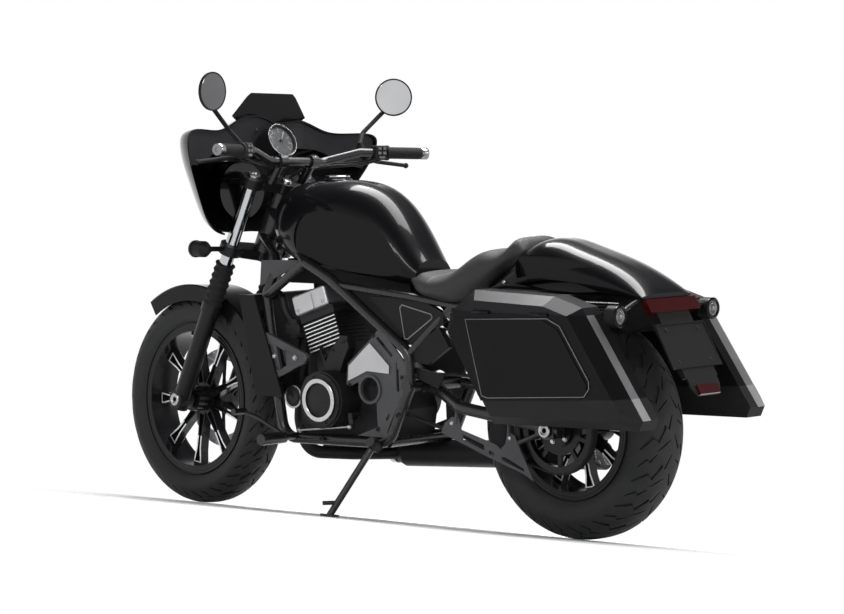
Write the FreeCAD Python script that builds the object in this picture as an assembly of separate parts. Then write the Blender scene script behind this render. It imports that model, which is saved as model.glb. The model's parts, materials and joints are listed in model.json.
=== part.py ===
# Cruiser motorcycle with a parallel twin engine, belt drive, handlebar fairing and hard panniers.
# Modelled upright in the bike frame: X forward, Y to the left, Z up, from the ground under the rear axle.
# Then the steered pieces turn to their rest angle and the whole machine leans on its side stand.
import FreeCAD, Part
import math
import os
from FreeCAD import Vector, Rotation, Placement

os.makedirs("parts", exist_ok=True)

# Driving dimensions, mm and degrees
WHEELBASE = 1490.0
RAKE = 25.0
FORK_OFFSET = 35.0
REST_STEER = -5.4
LEAN = 8.5

# Clearances
RUNNING_GAP = 0.5
SEAT_GAP = 0.3
MOVING_GAP = 5.0
CUT_OVER = 20.0

# Wheels and tyres
FRONT_RADIUS = 320.0
FRONT_TYRE_WIDTH = 130.0
FRONT_RIM_RADIUS = 228.6
REAR_RADIUS = 320.0
REAR_TYRE_WIDTH = 180.0
REAR_RIM_RADIUS = 203.2
FLANGE_HEIGHT = 14.0
RIM_DEPTH = 22.0
SPOKE_COUNT = 9
FRONT_SPOKE_ANGLE = 37.0
REAR_SPOKE_ANGLE = 19.0
SPOKE_WIDTH = 24.0
SPOKE_DEPTH = 30.0
SPOKE_WALL = 4.5
SPOKE_WEB = 8.0
PULLEY_WEB_COUNT = 10
DISC_ARM_COUNT = 6
CALIPER_ROUND = 6.0
CALIPER_TURN = -48.0
HUB_RADIUS = 38.0
HUB_HALF_WIDTH = 62.0
REAR_HUB_HALF_WIDTH = 84.0
AXLE_RADIUS = 10.0
AXLE_BORE_RADIUS = 6.0

# Brakes
FRONT_DISC_RADIUS = 150.0
REAR_DISC_RADIUS = 120.0
DISC_BAND = 34.0
DISC_THICKNESS = 5.0
DISC_STANDOFF = 16.0
CALIPER_LENGTH = 92.0
CALIPER_DEPTH = 46.0
CALIPER_WIDTH = 44.0
DISC_SLOT_GAP = 2.0

# Fork, measured along the fork legs from the front axle
FORK_HALF_SPAN = 102.0
SLIDER_RADIUS = 27.0
STANCHION_RADIUS = 20.5
GAITER_RADIUS = 31.0
GAITER_RIB = 5.0
GAITER_RIB_COUNT = 6
SLIDER_TOP = 330.0
SLIDER_FOOT = 28.0
GAITER_TOP = 461.0
LOWER_YOKE = 497.0
UPPER_YOKE = 722.0
YOKE_THICKNESS = 30.0
YOKE_CLAMP_RADIUS = 34.0
STEM_RADIUS = 30.0
STANCHION_TOP = 758.0
AXLE_END = 128.0
LAMP_STAY_HALF_SPAN = 45.0
LAMP_STAY_RADIUS = 8.0

# Frame, bike coordinates
FRAME_TUBE_RADIUS = 16.0
RAIL_RADIUS = 11.0
CRADLE_HALF_WIDTH = 140.0
RAIL_HALF_WIDTH = 118.0
HEAD_TUBE_RADIUS = 34.0
PIVOT_X = 530.0
PIVOT_Z = 415.0
PIVOT_RADIUS = 18.0
CRADLE_BOTTOM = 246.0
CRADLE_TOP = 760.0
CRADLE_FRONT_X = 1118.0
BEND_RADIUS = 60.0
TUBE_FRONT_X = 948.0
RAIL_Z = 650.0
RAIL_REAR_X = -190.0
PLATE_THICKNESS = 6.0
BRACKET_THICKNESS = 12.0
RECESS_DEPTH = 5.0
SLOT_RADIUS = 5.0
BOSS_RADIUS = 43.0
BOSS_WALL = 8.0
BOLT_HOLE_RADIUS = 7.0

# Engine
CRANK_X = 839.0
CRANK_Z = 362.0
ENGINE_HALF_WIDTH = 98.0
CYLINDER_TILT = 18.4
CYLINDER_HALF_WIDTH = 112.0
CYLINDER_BASE = 96.0
DECK_TO_COVER = 268.0
FIN_COUNT = 8
FIN_THICKNESS = 3.4
FIN_REACH = 10.0
HEAD_COVER_HEIGHT = 62.0
HEAD_COVER_LENGTH = 140.0
HEAD_COVER_HALF_WIDTH = 128.0
HEAD_COVER_RIB = 4.0
GEARBOX_FACE = 130.0
HORN_X = 1008.0
HORN_Z = 358.0
HORN_RADIUS = 34.0
HORN_DEPTH = 22.0
HOSE_Y = 80.0
HOSE_RADIUS = 13.0
THERMOSTAT_RADIUS = 30.0
THERMOSTAT_FACE = 104.0
SLAT_COUNT = 12
SLAT_THICKNESS = 3.0
ALTERNATOR_RADIUS = 84.0
ALTERNATOR_FACE = 195.0
RING_RADIUS = 63.0
RING_WIDTH = 13.0
SUMP_Z = 226.0
CASE_REAR_X = 632.0
CLUTCH_RADIUS = 96.0
CLUTCH_FACE = 168.0

# Cooling and exhaust
RADIATOR_HALF_WIDTH = 150.0
RADIATOR_THICKNESS = 34.0
SHROUD_THICKNESS = 8.0
HEADER_RADIUS = 19.0
HEADER_HALF_SPAN = 46.0
MUFFLER_RADIUS = 40.0
MUFFLER_Z = 188.0
MUFFLER_Y = -100.0
MUFFLER_FRONT_X = 784.0
MUFFLER_BORE_RADIUS = 22.0
KNEE_REAR_Y = 88.0
KNEE_FRONT_Y = 138.0
SCOOP_Y = 104.0
SCOOP_TILT = 0.18
PANEL_RISE = 3.0
BAR_TIP_SWEEP = 0.36
HOUSING_LENGTH = 42.0
HOUSING_DEPTH = 38.0
HOUSING_HEIGHT = 44.0
HOUSING_ROUND = 5.0
RESERVOIR_LENGTH = 46.0
RESERVOIR_HEIGHT = 26.0
MIRROR_DEPTH = 24.0
MIRROR_EDGE = 7.0
LEFT_MIRROR_TURN = 8.0
RIGHT_MIRROR_TURN = 34.0
BEZEL_WALL = 7.0
BEZEL_RISE = 7.0
SCREEN_TOP = 1253.0
SCREEN_BOTTOM = 1160.0
SCREEN_HALF_WIDTH = 145.0


def cut_all(shape, tools):
    for tool in tools:
        shape = shape.cut(tool)
    return shape
MUFFLER_REAR_X = 60.0
MUFFLER_REAR_Y = -172.0
MUFFLER_REAR_Z = 216.0

# Bodywork
TANK_REAR_X = 556.0
TANK_FRONT_X = 1126.0
TANK_BOTTOM = 700.0
TANK_TOP = 998.0
TANK_HALF_WIDTH = 150.0
CAP_RADIUS = 36.0
CAP_HEIGHT = 9.0
CAP_X = 930.0
SEAT_REAR_X = 132.0
SEAT_BOTTOM = 658.0
SEAT_TOP = 845.0
SEAT_HALF_WIDTH = 165.0
TAIL_REAR_X = -297.0
TAIL_BOTTOM = 690.0
TAIL_TOP = 834.0
TAIL_HALF_WIDTH = 128.0
FENDER_RADIUS = 346.0
FENDER_THICKNESS = 4.0
REAR_FENDER_HALF_WIDTH = 102.0
FRONT_FENDER_HALF_WIDTH = 71.0
FENDER_SKIRT = 46.0

# Panniers
PANNIER_INNER_Y = 206.0
PANNIER_OUTER_Y = 318.0
PANNIER_WALL = 3.5
PANNIER_BOTTOM = 342.0
PANNIER_TOP = 712.0
PANNIER_LID_Z = 655.0
PANNIER_REAR_X = -428.0
PANNIER_FRONT_X = 268.0
HINGE_RADIUS = 5.0

# Drive and swingarm
REAR_PULLEY_RADIUS = 124.0
FRONT_PULLEY_RADIUS = 48.0
FRONT_PULLEY_X = 655.0
FRONT_PULLEY_Z = 405.0
BELT_INNER_Y = 99.0
BELT_WIDTH = 20.0
BELT_THICKNESS = 5.0
ARM_RADIUS = 18.0
ARM_HALF_SPAN = 150.0
SHOCK_HALF_SPAN = 166.0
SHOCK_RADIUS = 24.0
SHOCK_LOW_X = 196.0
SHOCK_LOW_Z = 372.0
SHOCK_TOP_X = 336.0

# Bars, fairing and lamps
BAR_RADIUS = 12.7
GRIP_RADIUS = 17.0
GRIP_END_Y = 418.0
GRIP_LENGTH = 128.0
RISER_HALF_SPAN = 62.0
BAR_X = 1094.0
BAR_Z = 1050.0
MIRROR_Y = 361.0
MIRROR_X = 1062.0
MIRROR_Z = 1250.0
MIRROR_RADIUS = 56.0
FAIRING_HALF_WIDTH = 383.0
FAIRING_TOP = 1180.0
FAIRING_BOTTOM = 812.0
FAIRING_WALL = 4.0
FAIRING_NOSE = 1420.0
FAIRING_REAR = 1110.0
NOTCH_LOW_X = 1258.0
NOTCH_HIGH_X = 1210.0
WING_SWEEP = 0.29
DASH_DEPTH = 8.0
HEADLAMP_RADIUS = 88.0
INSTRUMENT_RADIUS = 54.0

# Side stand
STAND_PIVOT_X = 640.0
STAND_PIVOT_Y = 172.0
STAND_PIVOT_Z = 242.0
STAND_FOOT_X = 716.0
STAND_FOOT_Y = 284.0
STAND_RADIUS = 10.0
STAND_FOOT_RADIUS = 28.0
STAND_FOOT_HEIGHT = 8.0
STAND_FOLDED_RISE = 14.0


def vec(x, y, z):
    return Vector(x, y, z)


def blend(a, b, share):
    return a + (b - a) * share


def unit(v):
    w = Vector(v)
    return w.normalize()


def join(shapes):
    whole = shapes[0]
    for shape in shapes[1:]:
        whole = whole.fuse(shape)
    return whole


def apart(shapes):
    return Part.makeCompound(shapes)


def mirrored(shape):
    return shape.mirror(vec(0, 0, 0), vec(0, 1, 0))


def rod(a, b, radius):
    return Part.makeCylinder(radius, (b - a).Length, a, b - a)


def pipe(a, b, outer, inner):
    step = unit(b - a) * CUT_OVER
    return rod(a, b, outer).cut(rod(a - step, b + step, inner))


def disc(centre, half, radius):
    side = vec(0, half, 0)
    return rod(centre - side, centre + side, radius)


def bend_at(back, corner, ahead, bend):
    turn = math.pi - (back - corner).getAngle(ahead - corner)
    room = min((back - corner).Length, (ahead - corner).Length) / 2 * 0.98
    reach = min(bend * math.tan(turn / 2), room)
    first = corner + unit(back - corner) * reach
    last = corner + unit(ahead - corner) * reach
    inward = unit(unit(back - corner) + unit(ahead - corner))
    centre = corner + inward * (reach / math.sin(turn / 2))
    axis = (corner - back).cross(ahead - corner)
    return first, last, centre, axis, math.degrees(turn)


def bent_tube(points, radius, bend):
    pieces = []
    start = points[0]
    for back, corner, ahead in zip(points, points[1:], points[2:]):
        first, last, centre, axis, turn = bend_at(back, corner, ahead, bend)
        pieces.append(rod(start, first, radius))
        ring = Part.Circle(first, corner - back, radius).toShape()
        elbow = Part.Face(Part.Wire([ring])).revolve(centre, axis, turn)
        pieces.append(elbow)
        start = last
    pieces.append(rod(start, points[-1], radius))
    return join(pieces)


def polygon(points):
    return Part.Wire(Part.makePolygon(points + points[:1]).Edges)


def side_plate(outline, y_low, y_high):
    points = [vec(x, y_low, z) for x, z in outline]
    return Part.Face(polygon(points)).extrude(vec(0, y_high - y_low, 0))


def frame_outline(shares):
    return [(blend(PIVOT_X, CRADLE_FRONT_X, a), blend(CRADLE_BOTTOM, CRADLE_TOP, b)) for a, b in shares]


def arm_outline(shares):
    return [(PIVOT_X * a, PIVOT_Z * b) for a, b in shares]


def slot(ends, radius, y_low, y_high):
    first, last = [vec(x, y_low, z) for x, z in ends]
    depth = vec(0, y_high - y_low, 0)
    across = unit((last - first).cross(depth)) * radius
    bar = Part.Face(polygon([first + across, last + across, last - across, first - across])).extrude(depth)
    return join([bar, rod(first, first + depth, radius), rod(last, last + depth, radius)])


def arch_face(arch, corners):
    curve = Part.BSplineCurve()
    curve.interpolate(arch)
    chain = [arch[-1]] + corners + [arch[0]]
    edges = [curve.toShape()]
    for a, b in zip(chain, chain[1:]):
        edges.append(Part.makeLine(a, b))
    return Part.Face(Part.Wire(edges))


def scoop(arch, corners, rear_y, front_y, tilt, far):
    xs = [x for x, z in arch + corners]
    zs = [z for x, z in arch + corners]

    def on_plane(x, z):
        share = (x - min(xs)) / (max(xs) - min(xs))
        return vec(x, blend(rear_y, front_y, share) - tilt * (z - min(zs)), z)
    face = arch_face([on_plane(x, z) for x, z in arch], [on_plane(x, z) for x, z in corners])
    return face.extrude(vec(0, far, 0))


def bellows(inner, outer, rib, count, length):
    pitch = length / (2 * count)
    outline = [(inner, 0.0)]
    for i in range(2 * count + 1):
        ripple = rib if i % 2 else 0.0
        outline.append((outer - ripple, pitch * i))
    outline.append((inner, length))
    points = [vec(x, 0, z) for x, z in outline]
    return Part.Face(polygon(points)).revolve(vec(0, 0, 0), vec(0, 0, 1), 360)


def loop_spacing(shares, tall):
    loop = mirrored_loop([vec(0, a, b * tall) for a, b in shares])
    marks = [0.0]
    for here, ahead in zip(loop, loop[1:] + loop[:1]):
        marks.append(marks[-1] + (ahead - here).Length)
    return [mark / marks[-1] for mark in marks]


def turned(profile, centre, sweep=360.0):
    points = [centre + vec(0, y, r) for y, r in profile]
    return Part.Face(polygon(points)).revolve(centre, vec(0, 1, 0), sweep)


def spline_loop(points, spacing):
    curve = Part.BSplineCurve()
    curve.interpolate(Points=points, Parameters=spacing, PeriodicFlag=True)
    return Part.Wire([curve.toShape()])


def mirrored_loop(half):
    other = [vec(p.x, -p.y, p.z) for p in reversed(half[1:-1])]
    return half + other


def loft(wires, ruled=False):
    return Part.makeLoft(wires, True, ruled)


def spun(shape, count, centre, axis, start=0.0):
    copies = []
    for i in range(count):
        copy = shape.copy()
        copy.rotate(centre, axis, start + 360.0 * i / count)
        copies.append(copy)
    return copies


def in_fork(shape):
    tilt = Placement(vec(WHEELBASE, 0, FRONT_RADIUS), Rotation(vec(0, 1, 0), -RAKE))
    return placed(shape, tilt)


def placed(shape, where):
    copy = shape.copy()
    copy.Placement = where.multiply(copy.Placement)
    return copy


def fork_point(x, y, z):
    tilt = Placement(vec(WHEELBASE, 0, FRONT_RADIUS), Rotation(vec(0, 1, 0), -RAKE))
    return tilt.multVec(vec(x, y, z))


REAR_AXLE = vec(0, 0, REAR_RADIUS)
FRONT_AXLE = vec(WHEELBASE, 0, FRONT_RADIUS)
STEER_POINT = fork_point(-FORK_OFFSET, 0, 0)
STEER_AXIS = fork_point(0, 0, 1) - fork_point(0, 0, 0)
CRANK = vec(CRANK_X, 0, CRANK_Z)


# Wheels

TYRE_SECTION_SHARES = [(0.66, 0.0), (1.0, 0.46), (0.80, 0.84), (0.34, 1.0)]


def tyre(centre, radius, width, rim):
    half = [(width / 2 * s, blend(rim, radius, t)) for s, t in TYRE_SECTION_SHARES]
    profile = [(-y, r) for y, r in half] + list(reversed(half))
    return turned(profile, centre)


SPOKE_SHARES = [(0.64, 0.0), (0.40, 0.42), (0.46, 0.74), (0.74, 1.0)]


def spoke_slab(centre, inner, outer, inset, depth):
    side = [(SPOKE_WIDTH * s - inset, blend(inner, outer, t)) for s, t in SPOKE_SHARES]
    points = [vec(x, -depth / 2, z) for x, z in side] + [vec(-x, -depth / 2, z) for x, z in reversed(side)]
    slab = Part.Face(polygon(points)).extrude(vec(0, depth, 0))
    slab.translate(centre)
    return slab


def rim_ring(centre, rim, width):
    lip = width / 2 * TYRE_SECTION_SHARES[0][0]
    edge = lip + RUNNING_GAP
    out = edge + FLANGE_HEIGHT / 2
    low = rim - RIM_DEPTH
    top = rim - SEAT_GAP
    flange = rim + FLANGE_HEIGHT / 4
    profile = [(-out, flange), (-out, low), (out, low), (out, flange), (edge, flange), (edge, top),
               (-edge, top), (-edge, flange)]
    return turned(profile, centre)


def spoke(centre, inner, outer):
    body = spoke_slab(centre, inner, outer, 0.0, SPOKE_DEPTH)
    low = inner + SPOKE_DEPTH
    high = outer - RIM_DEPTH
    pocket = spoke_slab(centre, low, high, SPOKE_WALL, 2 * SPOKE_DEPTH)
    web = spoke_slab(centre, low - SPOKE_WALL, high + SPOKE_WALL, SPOKE_WALL / 2, SPOKE_WEB)
    return body.cut(pocket).fuse(web)


def cast_wheel(centre, rim, width, hub_half, hub_radius, phase, tyre_solid):
    ring = rim_ring(centre, rim, width)
    hub = disc(centre, hub_half, hub_radius)
    one = spoke(centre, HUB_RADIUS / 2, rim - RIM_DEPTH / 2)
    spokes = spun(one, SPOKE_COUNT, centre, vec(0, 1, 0), 90.0 - phase)
    bore = disc(centre, width, AXLE_RADIUS + RUNNING_GAP / 5)
    return join([ring, hub] + spokes).cut(bore).cut(tyre_solid)


def front_rim(tyre_solid):
    return cast_wheel(FRONT_AXLE, FRONT_RIM_RADIUS, FRONT_TYRE_WIDTH, HUB_HALF_WIDTH, HUB_RADIUS,
                      FRONT_SPOKE_ANGLE, tyre_solid)


def rear_rim(tyre_solid):
    return cast_wheel(REAR_AXLE, REAR_RIM_RADIUS, REAR_TYRE_WIDTH, REAR_HUB_HALF_WIDTH, HUB_RADIUS * 1.3,
                      REAR_SPOKE_ANGLE, tyre_solid)


def brake_disc(centre, radius, y_inner, y_outer, hub_half):
    band = pipe(centre + vec(0, y_inner, 0), centre + vec(0, y_outer, 0), radius, radius - DISC_BAND)
    side = 1.0 if y_outer > 0 else -1.0
    carrier = pipe(centre + vec(0, side * hub_half, 0), centre + vec(0, y_outer, 0),
                   HUB_RADIUS, AXLE_RADIUS + MOVING_GAP)
    arm = Part.makeBox(DISC_BAND / 2, DISC_THICKNESS, radius - DISC_BAND / 2 - HUB_RADIUS / 2,
                       centre + vec(-DISC_BAND / 4, min(y_inner, y_outer), HUB_RADIUS / 2))
    arms = spun(arm, DISC_ARM_COUNT, centre, vec(0, 1, 0))
    bore = disc(centre, REAR_TYRE_WIDTH, AXLE_RADIUS + MOVING_GAP)
    return join([band, carrier] + arms).cut(bore)


FRONT_DISC_Y = -(HUB_HALF_WIDTH + DISC_STANDOFF / 2)
REAR_DISC_Y = -(REAR_HUB_HALF_WIDTH + DISC_STANDOFF)


def front_disc():
    inner = FRONT_DISC_Y + DISC_THICKNESS
    return brake_disc(FRONT_AXLE, FRONT_DISC_RADIUS, inner, FRONT_DISC_Y, HUB_HALF_WIDTH)


def rear_disc():
    inner = REAR_DISC_Y + DISC_THICKNESS
    return brake_disc(REAR_AXLE, REAR_DISC_RADIUS, inner, REAR_DISC_Y, REAR_HUB_HALF_WIDTH)


PULLEY_BAND_SHARE = 0.85
PULLEY_PLATE_SHARE = 0.60
PULLEY_BOSS_SHARE = 0.40


def rear_pulley():
    low = REAR_AXLE + vec(0, BELT_INNER_Y, 0)
    high = REAR_AXLE + vec(0, BELT_INNER_Y + BELT_WIDTH, 0)
    middle = REAR_AXLE + vec(0, BELT_INNER_Y + BELT_WIDTH / 2, 0)
    bore = AXLE_RADIUS + RUNNING_GAP / 5
    band = pipe(low, high, REAR_PULLEY_RADIUS, REAR_PULLEY_RADIUS * PULLEY_BAND_SHARE)
    plate = pipe(low, middle, REAR_PULLEY_RADIUS * PULLEY_PLATE_SHARE, bore)
    boss = pipe(REAR_AXLE + vec(0, REAR_HUB_HALF_WIDTH, 0), high, REAR_PULLEY_RADIUS * PULLEY_BOSS_SHARE, bore)
    reach = REAR_PULLEY_RADIUS * (PULLEY_BAND_SHARE - PULLEY_BOSS_SHARE) + SPOKE_WALL
    web = Part.makeBox(SPOKE_WIDTH / 2, BELT_WIDTH / 2, reach,
                       REAR_AXLE + vec(-SPOKE_WIDTH / 4, BELT_INNER_Y, REAR_PULLEY_RADIUS * PULLEY_BOSS_SHARE))
    webs = spun(web, PULLEY_WEB_COUNT, REAR_AXLE, vec(0, 1, 0))
    return join([band, plate, boss] + webs)


# Front fork and steering


def fork_legs(make):
    left = make(FORK_HALF_SPAN)
    right = make(-FORK_HALF_SPAN)
    return [left, right]


def fork_sliders():
    def leg(y):
        body = rod(fork_point(0, y, -SLIDER_FOOT), fork_point(0, y, SLIDER_TOP), SLIDER_RADIUS)
        collar = rod(fork_point(0, y, SLIDER_TOP - SLIDER_FOOT), fork_point(0, y, SLIDER_TOP),
                     SLIDER_RADIUS + SPOKE_WALL)
        foot = disc(FRONT_AXLE + vec(0, y, 0), AXLE_END - FORK_HALF_SPAN, SLIDER_FOOT)
        return join([body, collar, foot])
    side = vec(0, AXLE_END, 0)
    axle = rod(FRONT_AXLE - side, FRONT_AXLE + side, AXLE_RADIUS)
    spacer = rod(FRONT_AXLE + vec(0, HUB_HALF_WIDTH + RUNNING_GAP * 2, 0),
                 FRONT_AXLE + vec(0, FORK_HALF_SPAN, 0), AXLE_RADIUS * 1.4)
    whole = join(fork_legs(leg) + [axle, spacer])
    return whole.cut(rod(FRONT_AXLE - side * 2, FRONT_AXLE + side * 2, AXLE_BORE_RADIUS))


def fork_gaiters():
    def leg(y):
        shape = bellows(STANCHION_RADIUS, GAITER_RADIUS, GAITER_RIB, GAITER_RIB_COUNT, GAITER_TOP - SLIDER_TOP)
        shape.translate(vec(0, y, SLIDER_TOP))
        return in_fork(shape)
    return apart(fork_legs(leg))


def fork_stanchions():
    def leg(y):
        return rod(fork_point(0, y, SLIDER_TOP), fork_point(0, y, STANCHION_TOP), STANCHION_RADIUS)
    return apart(fork_legs(leg))


def yoke(z):
    clamps = []
    for y in (-FORK_HALF_SPAN, FORK_HALF_SPAN):
        clamps.append(Part.makeCylinder(YOKE_CLAMP_RADIUS, YOKE_THICKNESS, vec(0, y, z)))
    stem = Part.makeCylinder(STEM_RADIUS, YOKE_THICKNESS, vec(-FORK_OFFSET, 0, z))
    outline = [(-FORK_OFFSET - STEM_RADIUS * 0.8, 0), (-YOKE_CLAMP_RADIUS * 0.7, FORK_HALF_SPAN),
               (YOKE_CLAMP_RADIUS * 0.7, FORK_HALF_SPAN), (YOKE_CLAMP_RADIUS * 0.3, 0),
               (YOKE_CLAMP_RADIUS * 0.7, -FORK_HALF_SPAN), (-YOKE_CLAMP_RADIUS * 0.7, -FORK_HALF_SPAN)]
    bridge = Part.Face(polygon([vec(x, y, z) for x, y in outline])).extrude(vec(0, 0, YOKE_THICKNESS))
    return join(clamps + [stem, bridge])


def yokes():
    low = yoke(LOWER_YOKE)
    high = yoke(UPPER_YOKE)
    holes = []
    for y in (-FORK_HALF_SPAN, FORK_HALF_SPAN):
        holes.append(Part.makeCylinder(STANCHION_RADIUS, STANCHION_TOP, vec(0, y, 0)))
    low, high = [in_fork(shape.cut(holes[0]).cut(holes[1])) for shape in (low, high)]
    stays = []
    for side in (-1.0, 1.0):
        back = fork_point(0, side * LAMP_STAY_HALF_SPAN, UPPER_YOKE + YOKE_THICKNESS / 2)
        front = vec(headlamp_centre().x - SEAT_GAP, back.y, back.z)
        stays.append(rod(back, front, LAMP_STAY_RADIUS))
    return apart([low, join([high] + stays)])


def handlebar(clamps):
    half = [vec(BAR_X, 0, BAR_Z), vec(BAR_X, RISER_HALF_SPAN * 1.7, BAR_Z),
            blend(vec(BAR_X, RISER_HALF_SPAN * 1.7, BAR_Z), grip_start(), 0.6) + vec(0, 0, BAR_RADIUS),
            grip_start(), grip_end() - unit(grip_end() - grip_start()) * BAR_RADIUS / 2]
    bar = bent_tube(half, BAR_RADIUS, BEND_RADIUS)
    whole = [bar, mirrored(bar)]
    for side in (-1.0, 1.0):
        y = side * RISER_HALF_SPAN
        foot = fork_point(-FORK_OFFSET, y, UPPER_YOKE + YOKE_THICKNESS)
        whole.append(rod(foot, vec(BAR_X, y, BAR_Z), BAR_RADIUS * 1.1))
        whole.append(disc(vec(BAR_X, y, BAR_Z), BAR_RADIUS, BAR_RADIUS * 1.6))
    return biggest(join(whole).cut(clamps))


def grip_end():
    return vec(BAR_X - GRIP_LENGTH * 0.96, GRIP_END_Y, BAR_Z + BAR_RADIUS * 2.4)


def grip_start():
    return grip_end() + vec(GRIP_LENGTH * BAR_TIP_SWEEP, -GRIP_LENGTH, 0)


def bar_block(centre, depth, length, height):
    block = Part.makeBox(depth, length, height, vec(-depth / 2, -length / 2, -height / 2))
    block = block.makeFillet(HOUSING_ROUND, block.Edges)
    turn = Rotation(vec(0, 1, 0), unit(grip_end() - grip_start()))
    return placed(block, Placement(centre, turn))


def lever_pivot():
    return blend(grip_start(), grip_end(), -0.3) + vec(GRIP_LENGTH * 0.3, 0, -GRIP_RADIUS)


def mirror_base():
    return lever_pivot() + vec(GRIP_RADIUS * 0.6, -GRIP_RADIUS * 0.7, GRIP_RADIUS * 2.4)


def lever():
    start = grip_start()
    end = grip_end()
    pivot = lever_pivot()
    knee = blend(start, end, 0.2) + vec(GRIP_LENGTH * 0.62, 0, -GRIP_RADIUS * 1.6)
    tip = end + vec(GRIP_LENGTH * 0.72, 0, -GRIP_RADIUS * 2.2)
    blade = bent_tube([pivot, knee, tip], GRIP_RADIUS * 0.36, BEND_RADIUS)
    return blade.fuse(Part.makeSphere(GRIP_RADIUS * 0.5, tip))


def hand_controls(bar):
    start = grip_start()
    end = grip_end()
    along = unit(end - start)
    grip = rod(start, end, GRIP_RADIUS)
    flange = rod(start, start + along * BEZEL_WALL, GRIP_RADIUS * 1.35)
    housing = bar_block(start - along * HOUSING_LENGTH / 2, HOUSING_DEPTH, HOUSING_LENGTH, HOUSING_HEIGHT)
    clamp = rod(start - along * HOUSING_LENGTH, lever_pivot(), GRIP_RADIUS * 0.6)
    perch = rod(lever_pivot(), mirror_base(), GRIP_RADIUS * 0.65)
    one = join([grip, flange, housing, clamp, perch, lever()])
    left = one.cut(bar)
    pot = bar_block(lever_pivot() + vec(0, 0, GRIP_RADIUS), GRIP_RADIUS * 2, RESERVOIR_LENGTH, RESERVOIR_HEIGHT)
    right = mirrored(one.fuse(pot)).cut(bar)
    return apart([biggest(left), biggest(right)])


def mirror(turn):
    base = mirror_base()
    head = vec(MIRROR_X, MIRROR_Y, MIRROR_Z)
    angle = math.radians(turn)
    facing = vec(-math.cos(angle), -math.sin(angle), 0)
    back = head - facing * MIRROR_DEPTH
    neck = back - facing * MIRROR_EDGE - vec(0, 0, MIRROR_RADIUS * 0.3)
    rise = blend(base, neck, 0.2) + vec(GRIP_RADIUS, 0, GRIP_RADIUS / 2)
    stalk = bent_tube([base, rise, neck, back + facing * MIRROR_EDGE], GRIP_RADIUS * 0.4, BEND_RADIUS / 2)
    bowl = Part.makeCone(MIRROR_RADIUS * 0.45, MIRROR_RADIUS, MIRROR_DEPTH - MIRROR_EDGE, back, facing)
    edge = rod(head - facing * MIRROR_EDGE, head, MIRROR_RADIUS)
    return join([stalk, bowl, edge])


def biggest(shape):
    return max(shape.Solids, key=lambda s: s.Volume)


def mirrors(controls):
    shapes = []
    for shape in (mirror(LEFT_MIRROR_TURN), mirrored(mirror(RIGHT_MIRROR_TURN))):
        shapes.append(biggest(shape.cut(controls)))
    return apart(shapes)


FAIRING_OUTLINE_SHARES = [(0.0, 1.0), (0.37, 1.0), (0.62, 0.90), (1.0, 0.84), (0.985, 0.70), (0.90, 0.50),
                          (0.78, 0.27), (0.64, 0.08), (0.45, 0.0), (0.0, 0.0)]
FAIRING_STATION_SHARES = [(0.0, 1.0, 1.0), (0.30, 0.93, 0.97), (0.60, 0.74, 0.86), (0.84, 0.50, 0.66),
                          (1.0, 0.24, 0.36)]


def fairing_section(depth_share, width_share, height_share, inset):
    middle = (FAIRING_TOP + FAIRING_BOTTOM) / 2
    half_height = (FAIRING_TOP - FAIRING_BOTTOM) / 2 * height_share - inset
    half_width = FAIRING_HALF_WIDTH * width_share - inset
    x = blend(FAIRING_REAR, FAIRING_NOSE - inset, depth_share)
    half = []
    for y_share, z_share in FAIRING_OUTLINE_SHARES:
        half.append(vec(x, half_width * y_share, middle + half_height * (2 * z_share - 1)))
    return spline_loop(mirrored_loop(half), loop_spacing(FAIRING_OUTLINE_SHARES, 1.0))


DASH_EDGE_SHARES = [(0.0, 0.77), (0.48, 0.747), (0.58, 0.71), (0.72, 0.63), (0.84, 0.61), (0.95, 0.58), (1.1, 0.55)]


def below_dash():
    left = [vec(0, FAIRING_HALF_WIDTH * a, blend(FAIRING_BOTTOM, FAIRING_TOP, b)) for a, b in DASH_EDGE_SHARES]
    right = [vec(p.x, -p.y, p.z) for p in reversed(left[1:])]
    floor = [vec(0, left[-1].y, 0), vec(0, -left[-1].y, 0)]
    return Part.Face(polygon(right + left + floor)).extrude(vec(FAIRING_NOSE, 0, 0))


def fairing_body(inset):
    wires = [fairing_section(d, w, h, inset) for d, w, h in FAIRING_STATION_SHARES]
    return loft(wires)


def rim_polygon(z, notch_x, offset):
    far = FAIRING_REAR - FAIRING_HALF_WIDTH
    wing = FAIRING_HALF_WIDTH + CUT_OVER
    notch = FAIRING_HALF_WIDTH * FAIRING_OUTLINE_SHARES[1][0]
    wing_x = notch_x - (wing - notch) * WING_SWEEP
    plan = [(far, -wing), (wing_x + offset, -wing), (notch_x + offset, -notch), (notch_x + offset, notch),
            (wing_x + offset, wing), (far, wing)]
    return polygon([vec(x, y, z) for x, y in plan])


def behind_rim(offset):
    low = rim_polygon(FAIRING_BOTTOM - CUT_OVER, NOTCH_LOW_X, offset)
    high = rim_polygon(FAIRING_TOP + CUT_OVER, NOTCH_HIGH_X, offset)
    return loft([low, high], True)


def fork_room():
    reach = FORK_HALF_SPAN + YOKE_CLAMP_RADIUS + MOVING_GAP
    front = YOKE_CLAMP_RADIUS + MOVING_GAP
    block = Part.makeBox(FAIRING_HALF_WIDTH, 2 * reach, STANCHION_TOP + MOVING_GAP - GAITER_TOP,
                         vec(front - FAIRING_HALF_WIDTH, -reach, GAITER_TOP))
    return in_fork(block)


def fairing():
    shell = fairing_body(0.0)
    hollow = fairing_body(FAIRING_WALL)
    hollow.translate(vec(-FAIRING_WALL / 2, 0, 0))
    shell = shell.cut(hollow).cut(behind_rim(0.0)).cut(fork_room())
    shell = shell.cut(disc_x(headlamp_centre(), HEADLAMP_RADIUS + SEAT_GAP, FAIRING_NOSE))
    return biggest(shell)


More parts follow.
